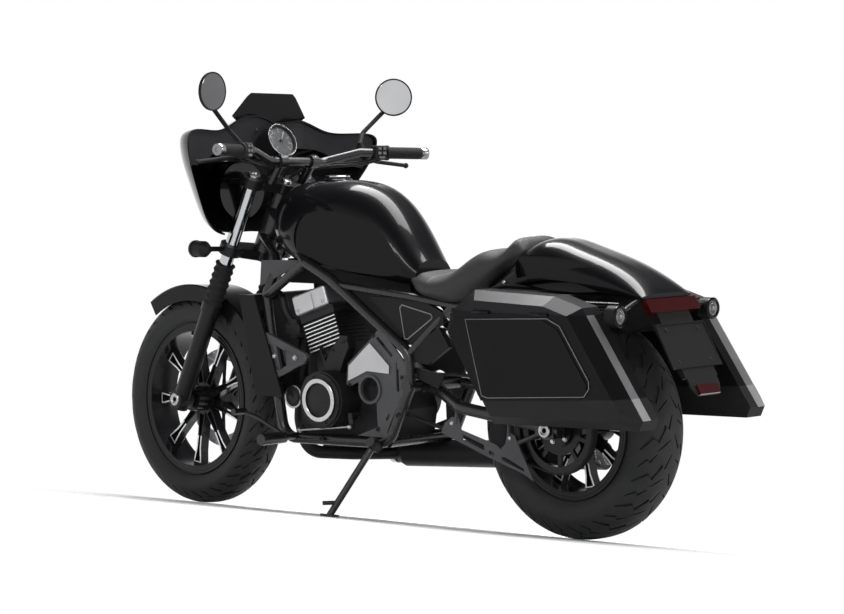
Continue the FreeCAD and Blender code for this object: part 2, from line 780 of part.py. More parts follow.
def dash_panel(shell):
    slab = behind_rim(DASH_DEPTH + FAIRING_WALL).cut(behind_rim(DASH_DEPTH))
    panel = fairing_body(FAIRING_WALL).common(slab).cut(below_dash()).cut(shell)
    face = instrument_centre()
    throat = rod(face - dial_facing() * INSTRUMENT_RADIUS, face + dial_facing() * CUT_OVER, INSTRUMENT_RADIUS)
    return biggest(panel.cut(throat))


def headlamp_centre():
    return vec(FAIRING_NOSE - HEADLAMP_RADIUS * 0.9, 0, blend(FAIRING_BOTTOM, FAIRING_TOP, 0.40))


def disc_x(centre, radius, length):
    return Part.makeCylinder(radius, length, centre, vec(1, 0, 0))


def headlamp():
    centre = headlamp_centre()
    bowl = disc_x(centre, HEADLAMP_RADIUS, HEADLAMP_RADIUS)
    dome = Part.makeSphere(HEADLAMP_RADIUS * 1.3, centre + vec(-HEADLAMP_RADIUS * 0.1, 0, 0))
    lens = dome.common(disc_x(centre, HEADLAMP_RADIUS, HEADLAMP_RADIUS * 3))
    return join([bowl, lens])


def instrument_centre():
    return vec(BAR_X + INSTRUMENT_RADIUS * 1.37, 0, blend(FAIRING_BOTTOM, FAIRING_TOP, 0.81))


def dial_facing():
    return unit(vec(-0.9, 0, 0.44))


def instrument():
    face = instrument_centre()
    back = face - dial_facing() * INSTRUMENT_RADIUS * 0.9
    lip = face + dial_facing() * BEZEL_RISE
    return rod(back, face, INSTRUMENT_RADIUS).fuse(pipe(face, lip, INSTRUMENT_RADIUS, INSTRUMENT_RADIUS - BEZEL_WALL))


SCREEN_SHARES = [(0.78, 0.0), (1.0, 0.24), (0.66, 0.88), (0.56, 1.0)]


def windscreen(shell):
    x_low = NOTCH_HIGH_X + GRIP_RADIUS
    half = []
    for a, b in SCREEN_SHARES:
        half.append(vec(x_low - GRIP_RADIUS * b, SCREEN_HALF_WIDTH * a, blend(SCREEN_BOTTOM, SCREEN_TOP, b)))
    other = [vec(p.x, -p.y, p.z) for p in reversed(half)]
    glass = Part.Face(polygon(half + other)).extrude(vec(FAIRING_WALL, 0, 0))
    return biggest(glass.cut(shell))


FRONT_FENDER_START = 56.0
FRONT_FENDER_END = 158.0


def fender_sector(centre, radius, half_width, start, end):
    outer = radius + FENDER_THICKNESS
    low = radius - FENDER_SKIRT
    inner_half = half_width - FENDER_THICKNESS
    profile = [(-half_width, low), (-inner_half, low), (-inner_half, radius), (inner_half, radius),
               (inner_half, low), (half_width, low), (half_width, outer - FENDER_THICKNESS),
               (inner_half, outer), (-inner_half, outer), (-half_width, outer - FENDER_THICKNESS)]
    shape = turned(profile, centre, end - start)
    shape.rotate(centre, vec(0, 1, 0), 90.0 - end)
    return shape


def front_fender(sliders, gaiters):
    hood = fender_sector(FRONT_AXLE, FENDER_RADIUS, FRONT_FENDER_HALF_WIDTH, FRONT_FENDER_START, FRONT_FENDER_END)
    whole = [hood]
    for side in (-1.0, 1.0):
        y = side * FRONT_FENDER_HALF_WIDTH
        root = fork_point(0, y, FENDER_RADIUS - FENDER_SKIRT * 0.6)
        tip = fork_point(0, side * (FORK_HALF_SPAN - SLIDER_RADIUS - SEAT_GAP), FENDER_RADIUS - FENDER_SKIRT * 0.6)
        whole.append(rod(root - vec(0, side * FENDER_THICKNESS, 0), tip, SLIDER_RADIUS * 0.6))
    return biggest(join(whole).cut(sliders).cut(gaiters))


def front_indicators():
    shapes = []
    for side in (-1.0, 1.0):
        root = fork_point(0, side * (FORK_HALF_SPAN + YOKE_CLAMP_RADIUS), LOWER_YOKE + YOKE_THICKNESS / 2)
        tip = root + vec(0, side * GRIP_LENGTH * 0.62, 0)
        drum = rod(tip - vec(SLIDER_RADIUS / 2, 0, 0), tip + vec(SLIDER_RADIUS, 0, 0), SLIDER_RADIUS * 0.9)
        tail_cone = Part.makeCone(SLIDER_RADIUS * 0.9, SLIDER_RADIUS * 0.3, SLIDER_RADIUS,
                                  tip - vec(SLIDER_RADIUS / 2, 0, 0), vec(-1, 0, 0))
        shapes.append(join([rod(root, tip, BAR_RADIUS * 0.6), drum, tail_cone]))
    return apart(shapes)


def front_brake():
    y = FRONT_DISC_Y + DISC_THICKNESS / 2
    centre = FRONT_AXLE + vec(-FRONT_DISC_RADIUS * 0.62, y, FRONT_DISC_RADIUS * 0.55)
    body = Part.makeBox(CALIPER_LENGTH, CALIPER_WIDTH, CALIPER_DEPTH,
                        centre - vec(CALIPER_LENGTH / 2, CALIPER_WIDTH / 2, CALIPER_DEPTH / 2))
    body = body.makeFillet(CALIPER_ROUND, body.Edges)
    body.rotate(centre, vec(0, 1, 0), CALIPER_TURN)
    gap = DISC_THICKNESS / 2 + DISC_SLOT_GAP
    disc_room = pipe(FRONT_AXLE + vec(0, y - gap, 0), FRONT_AXLE + vec(0, y + gap, 0),
                     FRONT_DISC_RADIUS + DISC_SLOT_GAP, HUB_RADIUS)
    tyre_room = disc(FRONT_AXLE, FRONT_TYRE_WIDTH / 2 + MOVING_GAP, FRONT_RADIUS)
    legs = fork_legs(lambda leg_y: rod(fork_point(0, leg_y, 0), fork_point(0, leg_y, SLIDER_TOP), SLIDER_RADIUS))
    feet = [disc(FRONT_AXLE + vec(0, s * FORK_HALF_SPAN, 0), AXLE_END - FORK_HALF_SPAN, SLIDER_FOOT) for s in (-1.0, 1.0)]
    return biggest(cut_all(body, [disc_room, tyre_room] + legs + feet))


# Frame


def cradle_points():
    rear_x = PIVOT_X - FRAME_TUBE_RADIUS / 4
    shoulder = CRADLE_HALF_WIDTH * 0.61
    return [vec(blend(PIVOT_X, TUBE_FRONT_X, 0.97), CRADLE_HALF_WIDTH, CRADLE_TOP),
            vec(blend(PIVOT_X, TUBE_FRONT_X, 0.73), CRADLE_HALF_WIDTH, blend(PIVOT_Z, CRADLE_TOP, 0.867)),
            vec(rear_x, CRADLE_HALF_WIDTH, blend(PIVOT_Z, CRADLE_TOP, 0.27)),
            vec(rear_x, CRADLE_HALF_WIDTH, PIVOT_Z),
            vec(blend(PIVOT_X, CRADLE_FRONT_X, 0.135), CRADLE_HALF_WIDTH, CRADLE_BOTTOM),
            vec(blend(PIVOT_X, CRADLE_FRONT_X, 0.86), CRADLE_HALF_WIDTH * 0.93, CRADLE_BOTTOM - FRAME_TUBE_RADIUS / 2),
            vec(blend(PIVOT_X, CRADLE_FRONT_X, 0.92), CRADLE_HALF_WIDTH * 0.88, blend(CRADLE_BOTTOM, CRADLE_TOP, 0.29)),
            vec(CRADLE_FRONT_X, CRADLE_HALF_WIDTH * 0.82, blend(CRADLE_BOTTOM, CRADLE_TOP, 0.79)),
            fork_point(-FORK_OFFSET - CRADLE_HALF_WIDTH, shoulder, LOWER_YOKE + YOKE_THICKNESS * 2),
            head_low()]


def head_low():
    return fork_point(-FORK_OFFSET, HEAD_TUBE_RADIUS * 0.6, LOWER_YOKE + YOKE_THICKNESS * 2.6)


def head_high():
    return fork_point(-FORK_OFFSET, HEAD_TUBE_RADIUS * 0.6, UPPER_YOKE - YOKE_THICKNESS * 2)


def frame_tubes():
    corner = vec(blend(PIVOT_X, TUBE_FRONT_X, 0.97), CRADLE_HALF_WIDTH, CRADLE_TOP)
    neck = vec(CRADLE_FRONT_X, CRADLE_HALF_WIDTH * 0.82, blend(CRADLE_BOTTOM, CRADLE_TOP, 0.79))
    cradle = bent_tube(cradle_points(), FRAME_TUBE_RADIUS, BEND_RADIUS)
    brace = rod(corner, neck, FRAME_TUBE_RADIUS * 0.9)
    spine = rod(head_high(), corner, FRAME_TUBE_RADIUS * 0.9)
    boss = rod(vec(PIVOT_X, BELT_INNER_Y, PIVOT_Z), vec(PIVOT_X, CRADLE_HALF_WIDTH + FRAME_TUBE_RADIUS, PIVOT_Z),
               PIVOT_RADIUS)
    sides = [cradle, brace, spine, boss]
    head = rod(fork_point(-FORK_OFFSET, 0, LOWER_YOKE + YOKE_THICKNESS + RUNNING_GAP),
               fork_point(-FORK_OFFSET, 0, UPPER_YOKE - RUNNING_GAP), HEAD_TUBE_RADIUS)
    low_x = blend(PIVOT_X, CRADLE_FRONT_X, 0.135)
    cross = rod(vec(low_x, -CRADLE_HALF_WIDTH, CRADLE_BOTTOM), vec(low_x, CRADLE_HALF_WIDTH, CRADLE_BOTTOM),
                FRAME_TUBE_RADIUS * 0.8)
    return join(sides + [mirrored(s) for s in sides] + [head, cross])


def rear_frame(front):
    rail = bent_tube([vec(blend(PIVOT_X, TUBE_FRONT_X, 0.66), CRADLE_HALF_WIDTH, blend(PIVOT_Z, CRADLE_TOP, 0.82)),
                      vec(PIVOT_X, CRADLE_HALF_WIDTH * 0.95, RAIL_Z + RAIL_RADIUS * 2),
                      vec(PIVOT_X * 0.7, RAIL_HALF_WIDTH, RAIL_Z),
                      vec(RAIL_REAR_X, RAIL_HALF_WIDTH, RAIL_Z)], RAIL_RADIUS, BEND_RADIUS)
    strut = rod(vec(PIVOT_X, CRADLE_HALF_WIDTH, blend(PIVOT_Z, CRADLE_TOP, 0.27)),
                vec(PIVOT_X * 0.72, RAIL_HALF_WIDTH, RAIL_Z), RAIL_RADIUS)
    sides = [rail, strut]
    for x in (SHOCK_TOP_X * 0.33, RAIL_REAR_X * 0.5):
        sides.append(rod(vec(x, RAIL_HALF_WIDTH, RAIL_Z), vec(x, PANNIER_INNER_Y, RAIL_Z), RAIL_RADIUS * 0.7))
    sides.append(rod(vec(SHOCK_TOP_X, RAIL_HALF_WIDTH, RAIL_Z - RAIL_RADIUS / 2),
                     vec(SHOCK_TOP_X, SHOCK_HALF_SPAN + SHOCK_RADIUS, RAIL_Z - RAIL_RADIUS * 2), RAIL_RADIUS * 0.8))
    crosses = []
    for x in (RAIL_REAR_X, PIVOT_X * 0.72):
        crosses.append(rod(vec(x, -RAIL_HALF_WIDTH, RAIL_Z), vec(x, RAIL_HALF_WIDTH, RAIL_Z), RAIL_RADIUS * 0.8))
    return biggest(join(sides + [mirrored(s) for s in sides] + crosses).cut(front))


SIDE_PLATE_SHARES = [(0.179, 0.642), (0.228, 0.588), (0.386, 0.436), (0.398, 0.317), (0.366, 0.311), (0.321, 0.337),
                     (0.286, 0.249), (0.197, 0.245), (0.19, 0.088), (0.325, 0.033), (0.138, 0.031), (0.119, 0.091),
                     (0.002, 0.325), (0.005, 0.459), (0.104, 0.576)]
SIDE_SLOT_SHARES = [((0.185, 0.589), (0.097, 0.5)), ((0.06, 0.449), (0.054, 0.304)), ((0.119, 0.16), (0.129, 0.138))]
BOSS_SHARE = (0.235, 0.3)
BRACKET_SHARES = [(0.991, 0.586), (0.954, 0.588), (0.677, 0.477), (0.663, 0.455), (0.687, 0.422), (0.901, 0.319),
                  (0.952, 0.377)]
BRACKET_PANEL_SHARES = [[(0.973, 0.539), (0.895, 0.512), (0.854, 0.375), (0.929, 0.379)],
                        [(0.83, 0.492), (0.687, 0.469), (0.696, 0.446), (0.816, 0.397)]]
BRACKET_GAP_SHARES = [(0.879, 0.514), (0.833, 0.492), (0.816, 0.401), (0.85, 0.375)]
BRACKET_HOLE_SHARES = [(0.753, 0.449), (0.895, 0.451)]
GUSSET_SHARES = [(1.041, 0.998), (0.781, 1.006), (0.757, 0.988), (1.053, 0.846)]


def pivot_plate():
    low = CRADLE_HALF_WIDTH + FRAME_TUBE_RADIUS / 2
    high = low + PLATE_THICKNESS
    plate = side_plate(frame_outline(SIDE_PLATE_SHARES), low, high)
    x, z = frame_outline([BOSS_SHARE])[0]
    ring = pipe(vec(x, low, z), vec(x, high + PLATE_THICKNESS, z), BOSS_RADIUS, BOSS_RADIUS - BOSS_WALL)
    plate = plate.fuse(ring).cut(rod(vec(x, 0, z), vec(x, high * 2, z), BOSS_RADIUS - BOSS_WALL))
    slots = [slot(frame_outline(ends), SLOT_RADIUS, low - CUT_OVER, high + CUT_OVER) for ends in SIDE_SLOT_SHARES]
    return cut_all(plate, slots)


def front_bracket():
    low = CRADLE_HALF_WIDTH
    high = low + BRACKET_THICKNESS
    plate = side_plate(frame_outline(BRACKET_SHARES), low, high)
    cuts = [side_plate(frame_outline(BRACKET_GAP_SHARES), low - CUT_OVER, high + CUT_OVER)]
    for panel in BRACKET_PANEL_SHARES:
        cuts.append(side_plate(frame_outline(panel), high - RECESS_DEPTH, high + CUT_OVER))
    for x, z in frame_outline(BRACKET_HOLE_SHARES):
        cuts.append(rod(vec(x, 0, z), vec(x, high * 2, z), BOLT_HOLE_RADIUS))
    return cut_all(plate, cuts)


def frame_plates(frame, covers, cooler, tank):
    gusset_y = CRADLE_HALF_WIDTH * 0.75
    gusset = side_plate(frame_outline(GUSSET_SHARES), gusset_y, gusset_y + PLATE_THICKNESS)
    shapes = []
    for one in (pivot_plate(), front_bracket(), gusset):
        for shape in (one, mirrored(one)):
            shapes.append(biggest(cut_all(shape, [frame, covers, cooler, tank])))
    return apart(shapes)


# Engine


def along_cylinder(distance, forward):
    tilt = Placement(CRANK, Rotation(vec(0, 1, 0), CYLINDER_TILT))
    return tilt.multVec(vec(forward, 0, distance))


def cylinder_block(low, high, rear, front, half):
    points = [along_cylinder(low, rear), along_cylinder(low, front), along_cylinder(high, front),
              along_cylinder(high, rear)]
    face = Part.Face(polygon([p - vec(0, half, 0) for p in points]))
    return face.extrude(vec(0, 2 * half, 0))


def cylinders(frame, cooler, pipes):
    top = DECK_TO_COVER
    fin_low = blend(CYLINDER_BASE, top, 0.34)
    fin_high = blend(CYLINDER_BASE, top, 0.80)
    length = HEAD_COVER_LENGTH
    core = cylinder_block(CYLINDER_BASE, top, -length * 0.46, length * 0.40, CYLINDER_HALF_WIDTH - FIN_REACH)
    pitch = (fin_high - fin_low) / (FIN_COUNT - 1)
    fins = []
    for i in range(FIN_COUNT):
        low = fin_low + pitch * i
        fins.append(cylinder_block(low, low + FIN_THICKNESS, -length * 0.5, length * 0.42, CYLINDER_HALF_WIDTH))
    head = cylinder_block(fin_high + pitch, top, -length * 0.52, length * 0.47, CYLINDER_HALF_WIDTH)
    return biggest(cut_all(join([core, head] + fins + coolant_hose()), [frame, cooler, pipes]))


HOSE_SHARES = [(0.84, 0.605), (0.925, 0.70), (0.95, 0.815), (1.08, 0.77)]


def coolant_hose():
    points = [vec(x, HOSE_Y, z) for x, z in frame_outline(HOSE_SHARES)]
    start = points[0]
    back = HOSE_Y - HOSE_RADIUS - RUNNING_GAP * 2
    drum = rod(vec(start.x, back, start.z), vec(start.x, THERMOSTAT_FACE, start.z), THERMOSTAT_RADIUS)
    stub = rod(start, along_cylinder(blend(CYLINDER_BASE, DECK_TO_COVER, 0.66), 0) + vec(0, HOSE_Y, 0), HOSE_RADIUS)
    return [drum, stub, bent_tube(points, HOSE_RADIUS, BEND_RADIUS)]


def head_cover():
    low = DECK_TO_COVER
    high = low + HEAD_COVER_HEIGHT
    length = HEAD_COVER_LENGTH
    block = cylinder_block(low, high, -length / 2, length / 2, HEAD_COVER_HALF_WIDTH)
    block = block.makeFillet(HEAD_COVER_HEIGHT * 0.16, block.Edges)
    rib = cylinder_block(low + HEAD_COVER_RIB, high - HEAD_COVER_RIB * 2, -length * 0.10, length * 0.06,
                         HEAD_COVER_HALF_WIDTH + HEAD_COVER_RIB)
    return block.fuse(rib)


GEARBOX_SHARES = [(0.621, 0.523), (0.573, 0.434), (0.544, 0.496), (0.471, 0.591), (0.425, 0.586), (0.417, 0.525),
                  (0.454, 0.447), (0.491, 0.339), (0.565, 0.374)]


CASE_OUTLINE_SHARES = [(0.0, 0.42), (0.05, 0.0), (0.86, 0.0), (1.0, 0.22), (1.0, 0.62), (0.90, 0.86), (0.68, 0.98),
                       (0.42, 0.90), (0.12, 0.86)]


def crankcase(pipes):
    front_x = CRANK_X + ALTERNATOR_RADIUS * 1.9
    top = CRANK_Z + CYLINDER_BASE * 1.25
    outline = [(blend(CASE_REAR_X, front_x, a), blend(SUMP_Z, top, b)) for a, b in CASE_OUTLINE_SHARES]
    case = side_plate(outline, -ENGINE_HALF_WIDTH, ENGINE_HALF_WIDTH)
    cut = cylinder_block(CYLINDER_BASE, DECK_TO_COVER, -HEAD_COVER_LENGTH, HEAD_COVER_LENGTH, CYLINDER_HALF_WIDTH)
    return biggest(case.cut(cut).cut(pipes))


def engine_covers():
    near = ENGINE_HALF_WIDTH
    rim = CRANK + vec(0, ALTERNATOR_FACE - RING_WIDTH / 2, 0)
    length = HEAD_COVER_LENGTH
    cylinder_room = cylinder_block(CYLINDER_BASE, DECK_TO_COVER, -length * 0.52, length * 0.47, CYLINDER_HALF_WIDTH)
    gearbox = side_plate(frame_outline(GEARBOX_SHARES), near, GEARBOX_FACE).cut(cylinder_room)
    left = join([rod(CRANK + vec(0, near, 0), rim - vec(0, RING_WIDTH / 2, 0), ALTERNATOR_RADIUS),
                 rod(CRANK + vec(0, near, 0), rim, ALTERNATOR_RADIUS - RING_WIDTH / 2),
                 pipe(CRANK + vec(0, near, 0), CRANK + vec(0, ALTERNATOR_FACE, 0), RING_RADIUS,
                      RING_RADIUS - RING_WIDTH),
                 gearbox])
    clutch = vec(CRANK_X - CLUTCH_RADIUS * 0.7, 0, CRANK_Z)
    right = rod(clutch - vec(0, near, 0), clutch - vec(0, CLUTCH_FACE, 0), CLUTCH_RADIUS)
    horn_back = vec(HORN_X, near + RUNNING_GAP * 2, HORN_Z)
    horn = rod(horn_back, horn_back + vec(0, HORN_DEPTH, 0), HORN_RADIUS)
    foot_x = HORN_X - HORN_RADIUS * 0.7
    foot = rod(vec(foot_x, near, HORN_Z), vec(foot_x, near + HORN_DEPTH / 2, HORN_Z), BOLT_HOLE_RADIUS)
    return apart([left, right, horn.fuse(foot)])


ARROW_SHARES = [(0.231, 0.562), (0.104, 0.44), (0.105, 0.395), (0.25, 0.403), (0.378, 0.339), (0.371, 0.426)]


def side_trim(covers):
    low = CRADLE_HALF_WIDTH + FRAME_TUBE_RADIUS / 2 + PLATE_THICKNESS
    plate = side_plate(frame_outline(ARROW_SHARES), low, low + PLATE_THICKNESS)
    x, z = frame_outline([BOSS_SHARE])[0]
    boss_room = rod(vec(x, 0, z), vec(x, low * 2, z), BOSS_RADIUS)
    plate = plate.cut(boss_room)
    return apart([biggest(plate.cut(covers)), biggest(mirrored(plate).cut(covers))])


def radiator(frame):
    low = vec(CRADLE_FRONT_X - FRAME_TUBE_RADIUS * 2, 0, blend(CRADLE_BOTTOM, CRADLE_TOP, 0.22))
    high = vec(CRADLE_FRONT_X + FRAME_TUBE_RADIUS * 1.6, 0, blend(CRADLE_BOTTOM, CRADLE_TOP, 0.80))
    depth = vec(RADIATOR_THICKNESS, 0, 0)
    core = Part.Face(polygon([low, low + depth, high + depth, high])).extrude(vec(0, RADIATOR_HALF_WIDTH, 0))
    core = core.fuse(mirrored(core)).removeSplitter()
    flank = [low - depth * 2, low + depth * 1.2, high + depth * 1.4, high - depth * 0.4]
    shroud = side_plate([(p.x, p.z) for p in flank], RADIATOR_HALF_WIDTH, RADIATOR_HALF_WIDTH + SHROUD_THICKNESS)
    whole = [core, shroud, mirrored(shroud)]
    for i in range(SLAT_COUNT):
        at = low + depth + (high - low) * ((i + 1) / (SLAT_COUNT + 1))
        slat = Part.makeBox(SLAT_THICKNESS * 2, 2 * RADIATOR_HALF_WIDTH, SLAT_THICKNESS,
                            at - vec(SLAT_THICKNESS, RADIATOR_HALF_WIDTH, 0))
        whole.append(slat)
    for side in (-1.0, 1.0):
        for share in (0.2, 0.8):
            back = low + (high - low) * share + vec(0, side * CRADLE_HALF_WIDTH * 0.82, 0)
            whole.append(rod(back - depth, back + depth / 2, FRAME_TUBE_RADIUS * 0.7))
    return biggest(join(whole).cut(frame))


def header(y):
    port = along_cylinder(blend(CYLINDER_BASE, DECK_TO_COVER, 0.86), HEAD_COVER_LENGTH * 0.47)
    port.y = y
    front = vec(port.x + HEADER_RADIUS * 2.4, y, port.z - HEADER_RADIUS)
    low = vec(CRANK_X + ALTERNATOR_RADIUS * 2.52, y, CRADLE_BOTTOM + HEADER_RADIUS * 2)
    under = vec(low.x - HEADER_RADIUS * 1.4, y, MUFFLER_Z)
    back = vec(CRANK_X + HEADER_RADIUS * 2, y * 0.6 - HEADER_HALF_SPAN * 0.6, MUFFLER_Z)
    inside_cone = MUFFLER_FRONT_X - HEADER_RADIUS * 0.5
    end = vec(inside_cone, MUFFLER_Y + HEADER_RADIUS * (1 if y > 0 else -1) * 0.3, MUFFLER_Z)
    return bent_tube([port, front, low, under, back, end], HEADER_RADIUS, BEND_RADIUS)


def exhaust(frame):
    start = vec(MUFFLER_FRONT_X, MUFFLER_Y, MUFFLER_Z)
    end = vec(MUFFLER_REAR_X, MUFFLER_REAR_Y, MUFFLER_REAR_Z)
    along = unit(end - start)
    clamp = rod(start - along * HEADER_RADIUS, start, HEADER_RADIUS * 1.5)
    neck = HEADER_RADIUS * 1.6
    cone = Part.makeCone(HEADER_RADIUS * 1.4, MUFFLER_RADIUS, neck, start, along)
    can = rod(start + along * neck, end, MUFFLER_RADIUS)
    bore = rod(end - along * MUFFLER_RADIUS, end + along * CUT_OVER, MUFFLER_BORE_RADIUS)
    whole = join([header(HEADER_HALF_SPAN), header(-HEADER_HALF_SPAN), clamp, cone, can]).cut(bore)
    return biggest(whole.cut(frame))


AXLE_BLOCK_SHARES = [(0.075, 0.79), (-0.043, 0.81), (-0.051, 0.72), (0.072, 0.735)]
ADJUSTER_SHARES = [(0.05, 0.75), (0.209, 0.67)]


# Swingarm, drive and suspension


def swingarm():
    pivot = rod(vec(PIVOT_X, -BELT_INNER_Y + RUNNING_GAP, PIVOT_Z), vec(PIVOT_X, BELT_INNER_Y - RUNNING_GAP, PIVOT_Z),
                PIVOT_RADIUS * 1.2)
    arm = bent_tube([vec(PIVOT_X, BELT_INNER_Y - ARM_RADIUS * 1.4, PIVOT_Z),
                     vec(PIVOT_X * 0.84, BELT_INNER_Y, PIVOT_Z * 0.97),
                     vec(PIVOT_X * 0.62, ARM_HALF_SPAN, PIVOT_Z * 0.88),
                     vec(-AXLE_RADIUS * 4, ARM_HALF_SPAN, REAR_RADIUS)], ARM_RADIUS, BEND_RADIUS)
    tip = vec(0, ARM_HALF_SPAN + ARM_RADIUS * 1.3, 0)
    axle = rod(REAR_AXLE - tip, REAR_AXLE + tip, AXLE_RADIUS)
    end = disc(REAR_AXLE + vec(0, ARM_HALF_SPAN, 0), ARM_RADIUS, ARM_RADIUS * 1.5)
    block = side_plate(arm_outline(AXLE_BLOCK_SHARES), ARM_HALF_SPAN - ARM_RADIUS, ARM_HALF_SPAN + ARM_RADIUS)
    near, far = [vec(x, ARM_HALF_SPAN, z) for x, z in arm_outline(ADJUSTER_SHARES)]
    adjuster = rod(near, far, ARM_RADIUS * 0.4)
    seat_low = vec(SHOCK_LOW_X, ARM_HALF_SPAN, SHOCK_LOW_Z)
    lug = rod(seat_low - vec(0, 0, ARM_RADIUS * 1.4), seat_low, ARM_RADIUS * 0.7)
    pin = rod(seat_low, vec(SHOCK_LOW_X, SHOCK_HALF_SPAN + SHOCK_RADIUS / 2, SHOCK_LOW_Z), AXLE_RADIUS * 0.7)
    sides = [arm, end, block, adjuster, lug, pin]
    whole = join([pivot, axle] + sides + [mirrored(s) for s in sides])
    return whole.cut(rod(REAR_AXLE - tip * 2, REAR_AXLE + tip * 2, AXLE_BORE_RADIUS))


SPRING_COIL_COUNT = 8


def shock_absorbers(frame, arm):
    low = vec(SHOCK_LOW_X, SHOCK_HALF_SPAN, SHOCK_LOW_Z)
    high = vec(SHOCK_TOP_X, SHOCK_HALF_SPAN, RAIL_Z - RAIL_RADIUS * 2)
    step = high - low
    length = step.Length * 0.56
    spring = bellows(0.0, SHOCK_RADIUS, GAITER_RIB, SPRING_COIL_COUNT, length)
    spring = placed(spring, Placement(low + step * 0.22, Rotation(vec(0, 0, 1), step)))
    seats = [rod(low + step * 0.17, low + step * 0.22, SHOCK_RADIUS), rod(low + step * 0.78, low + step * 0.88, SHOCK_RADIUS)]
    eyes = [disc(low, AXLE_RADIUS, AXLE_RADIUS * 1.5), disc(high, AXLE_RADIUS, AXLE_RADIUS * 1.5)]
    shaft = rod(low + step * 0.05, high - step * 0.04, AXLE_RADIUS)
    one = join([spring, shaft] + seats + eyes)
    shapes = []
    for shape in (one, mirrored(one)):
        shapes.append(biggest(shape.cut(frame).cut(arm)))
    return apart(shapes)


GUARD_SHARES = [(0.777, 0.694), (0.753, 0.759), (0.698, 0.81), (0.647, 0.795), (0.634, 0.723), (0.387, 0.639),
                (0.358, 0.612), (0.323, 0.653), (0.313, 0.716), (0.291, 0.73), (0.26, 0.711), (0.13, 0.41),
                (0.2, 0.455), (0.44, 0.549)]
GUARD_WINDOW_SHARES = [[(0.623, 0.694), (0.472, 0.631), (0.472, 0.595), (0.623, 0.655)],
                       [(0.438, 0.598), (0.402, 0.586), (0.404, 0.561), (0.438, 0.571)],
                       [(0.355, 0.557), (0.323, 0.559), (0.196, 0.489), (0.196, 0.472), (0.342, 0.535)]]
GUARD_HOLE_SHARES = [(0.70, 0.765), (0.293, 0.694)]
GUARD_STAY_SHARES = [((0.672, 0.76), (0.66, 0.88)), ((0.30, 0.70), (0.30, 0.81))]


def belt_outline(r_front, r_rear):
    front = (FRONT_PULLEY_X, FRONT_PULLEY_Z)
    rear = (0.0, REAR_RADIUS)
    span = math.hypot(front[0], front[1] - rear[1])
    slope = math.atan2(front[1] - rear[1], front[0])
    spread = math.acos((r_rear - r_front) / span)
    up = slope + spread
    down = slope - spread
    def at(c, r, angle):
        return vec(c[0] + r * math.cos(angle), 0, c[1] + r * math.sin(angle))
    a = at(rear, r_rear, up)
    b = at(front, r_front, up)
    c = at(front, r_front, slope)
    d = at(front, r_front, down)
    e = at(rear, r_rear, down)
    f = at(rear, r_rear, slope + math.pi)
    return Part.Wire([Part.LineSegment(a, b).toShape(), Part.Arc(b, c, d).toShape(),
                      Part.LineSegment(d, e).toShape(), Part.Arc(e, f, a).toShape()])


def drive_belt():
    gap = RUNNING_GAP
    outer = Part.Face(belt_outline(FRONT_PULLEY_RADIUS + gap + BELT_THICKNESS, REAR_PULLEY_RADIUS + gap + BELT_THICKNESS))
    inner = Part.Face(belt_outline(FRONT_PULLEY_RADIUS + gap, REAR_PULLEY_RADIUS + gap))
    loop = outer.cut(inner).extrude(vec(0, BELT_WIDTH, 0))
    loop.translate(vec(0, BELT_INNER_Y, 0))
    pulley = rod(vec(FRONT_PULLEY_X, ENGINE_HALF_WIDTH, FRONT_PULLEY_Z),
                 vec(FRONT_PULLEY_X, BELT_INNER_Y + BELT_WIDTH, FRONT_PULLEY_Z), FRONT_PULLEY_RADIUS)
    return apart([biggest(loop), pulley])


def belt_guard(arm):
    near = ARM_HALF_SPAN - ARM_RADIUS * 0.6
    far = near - PLATE_THICKNESS / 2
    plate = side_plate(arm_outline(GUARD_SHARES), far, near)
    cuts = [side_plate(arm_outline(window), far - CUT_OVER, near + CUT_OVER) for window in GUARD_WINDOW_SHARES]
    for x, z in arm_outline(GUARD_HOLE_SHARES):
        cuts.append(rod(vec(x, 0, z), vec(x, near * 2, z), BOLT_HOLE_RADIUS))
    whole = [cut_all(plate, cuts)]
    for foot, top in GUARD_STAY_SHARES:
        low, high = arm_outline([foot, top])
        whole.append(rod(vec(low[0], near, low[1]), vec(high[0], near, high[1]), ARM_RADIUS / 4))
    return biggest(join(whole).cut(arm))


def rear_brake(carrier):
    y = REAR_DISC_Y + DISC_THICKNESS / 2
    centre = REAR_AXLE + vec(REAR_DISC_RADIUS * 0.86, y, REAR_DISC_RADIUS * 0.2)
    body = Part.makeBox(CALIPER_DEPTH, CALIPER_WIDTH * 0.7, CALIPER_LENGTH,
                        centre - vec(CALIPER_DEPTH / 2, CALIPER_WIDTH * 0.35, CALIPER_LENGTH / 2))
    body = body.makeFillet(CALIPER_ROUND, body.Edges)
    gap = DISC_THICKNESS / 2 + DISC_SLOT_GAP
    disc_room = pipe(REAR_AXLE + vec(0, y - gap, 0), REAR_AXLE + vec(0, y + gap, 0),
                     REAR_DISC_RADIUS + DISC_SLOT_GAP, HUB_RADIUS)
    tyre_room = disc(REAR_AXLE, REAR_TYRE_WIDTH / 2 + DISC_SLOT_GAP, REAR_RADIUS)
    hanger = rod(centre - vec(0, gap * 2, 0), vec(centre.x, -ARM_HALF_SPAN, centre.z), CALIPER_DEPTH * 0.3)
    return biggest(cut_all(body, [disc_room, tyre_room]).fuse(hanger).cut(carrier))


# Tank, seat and tail

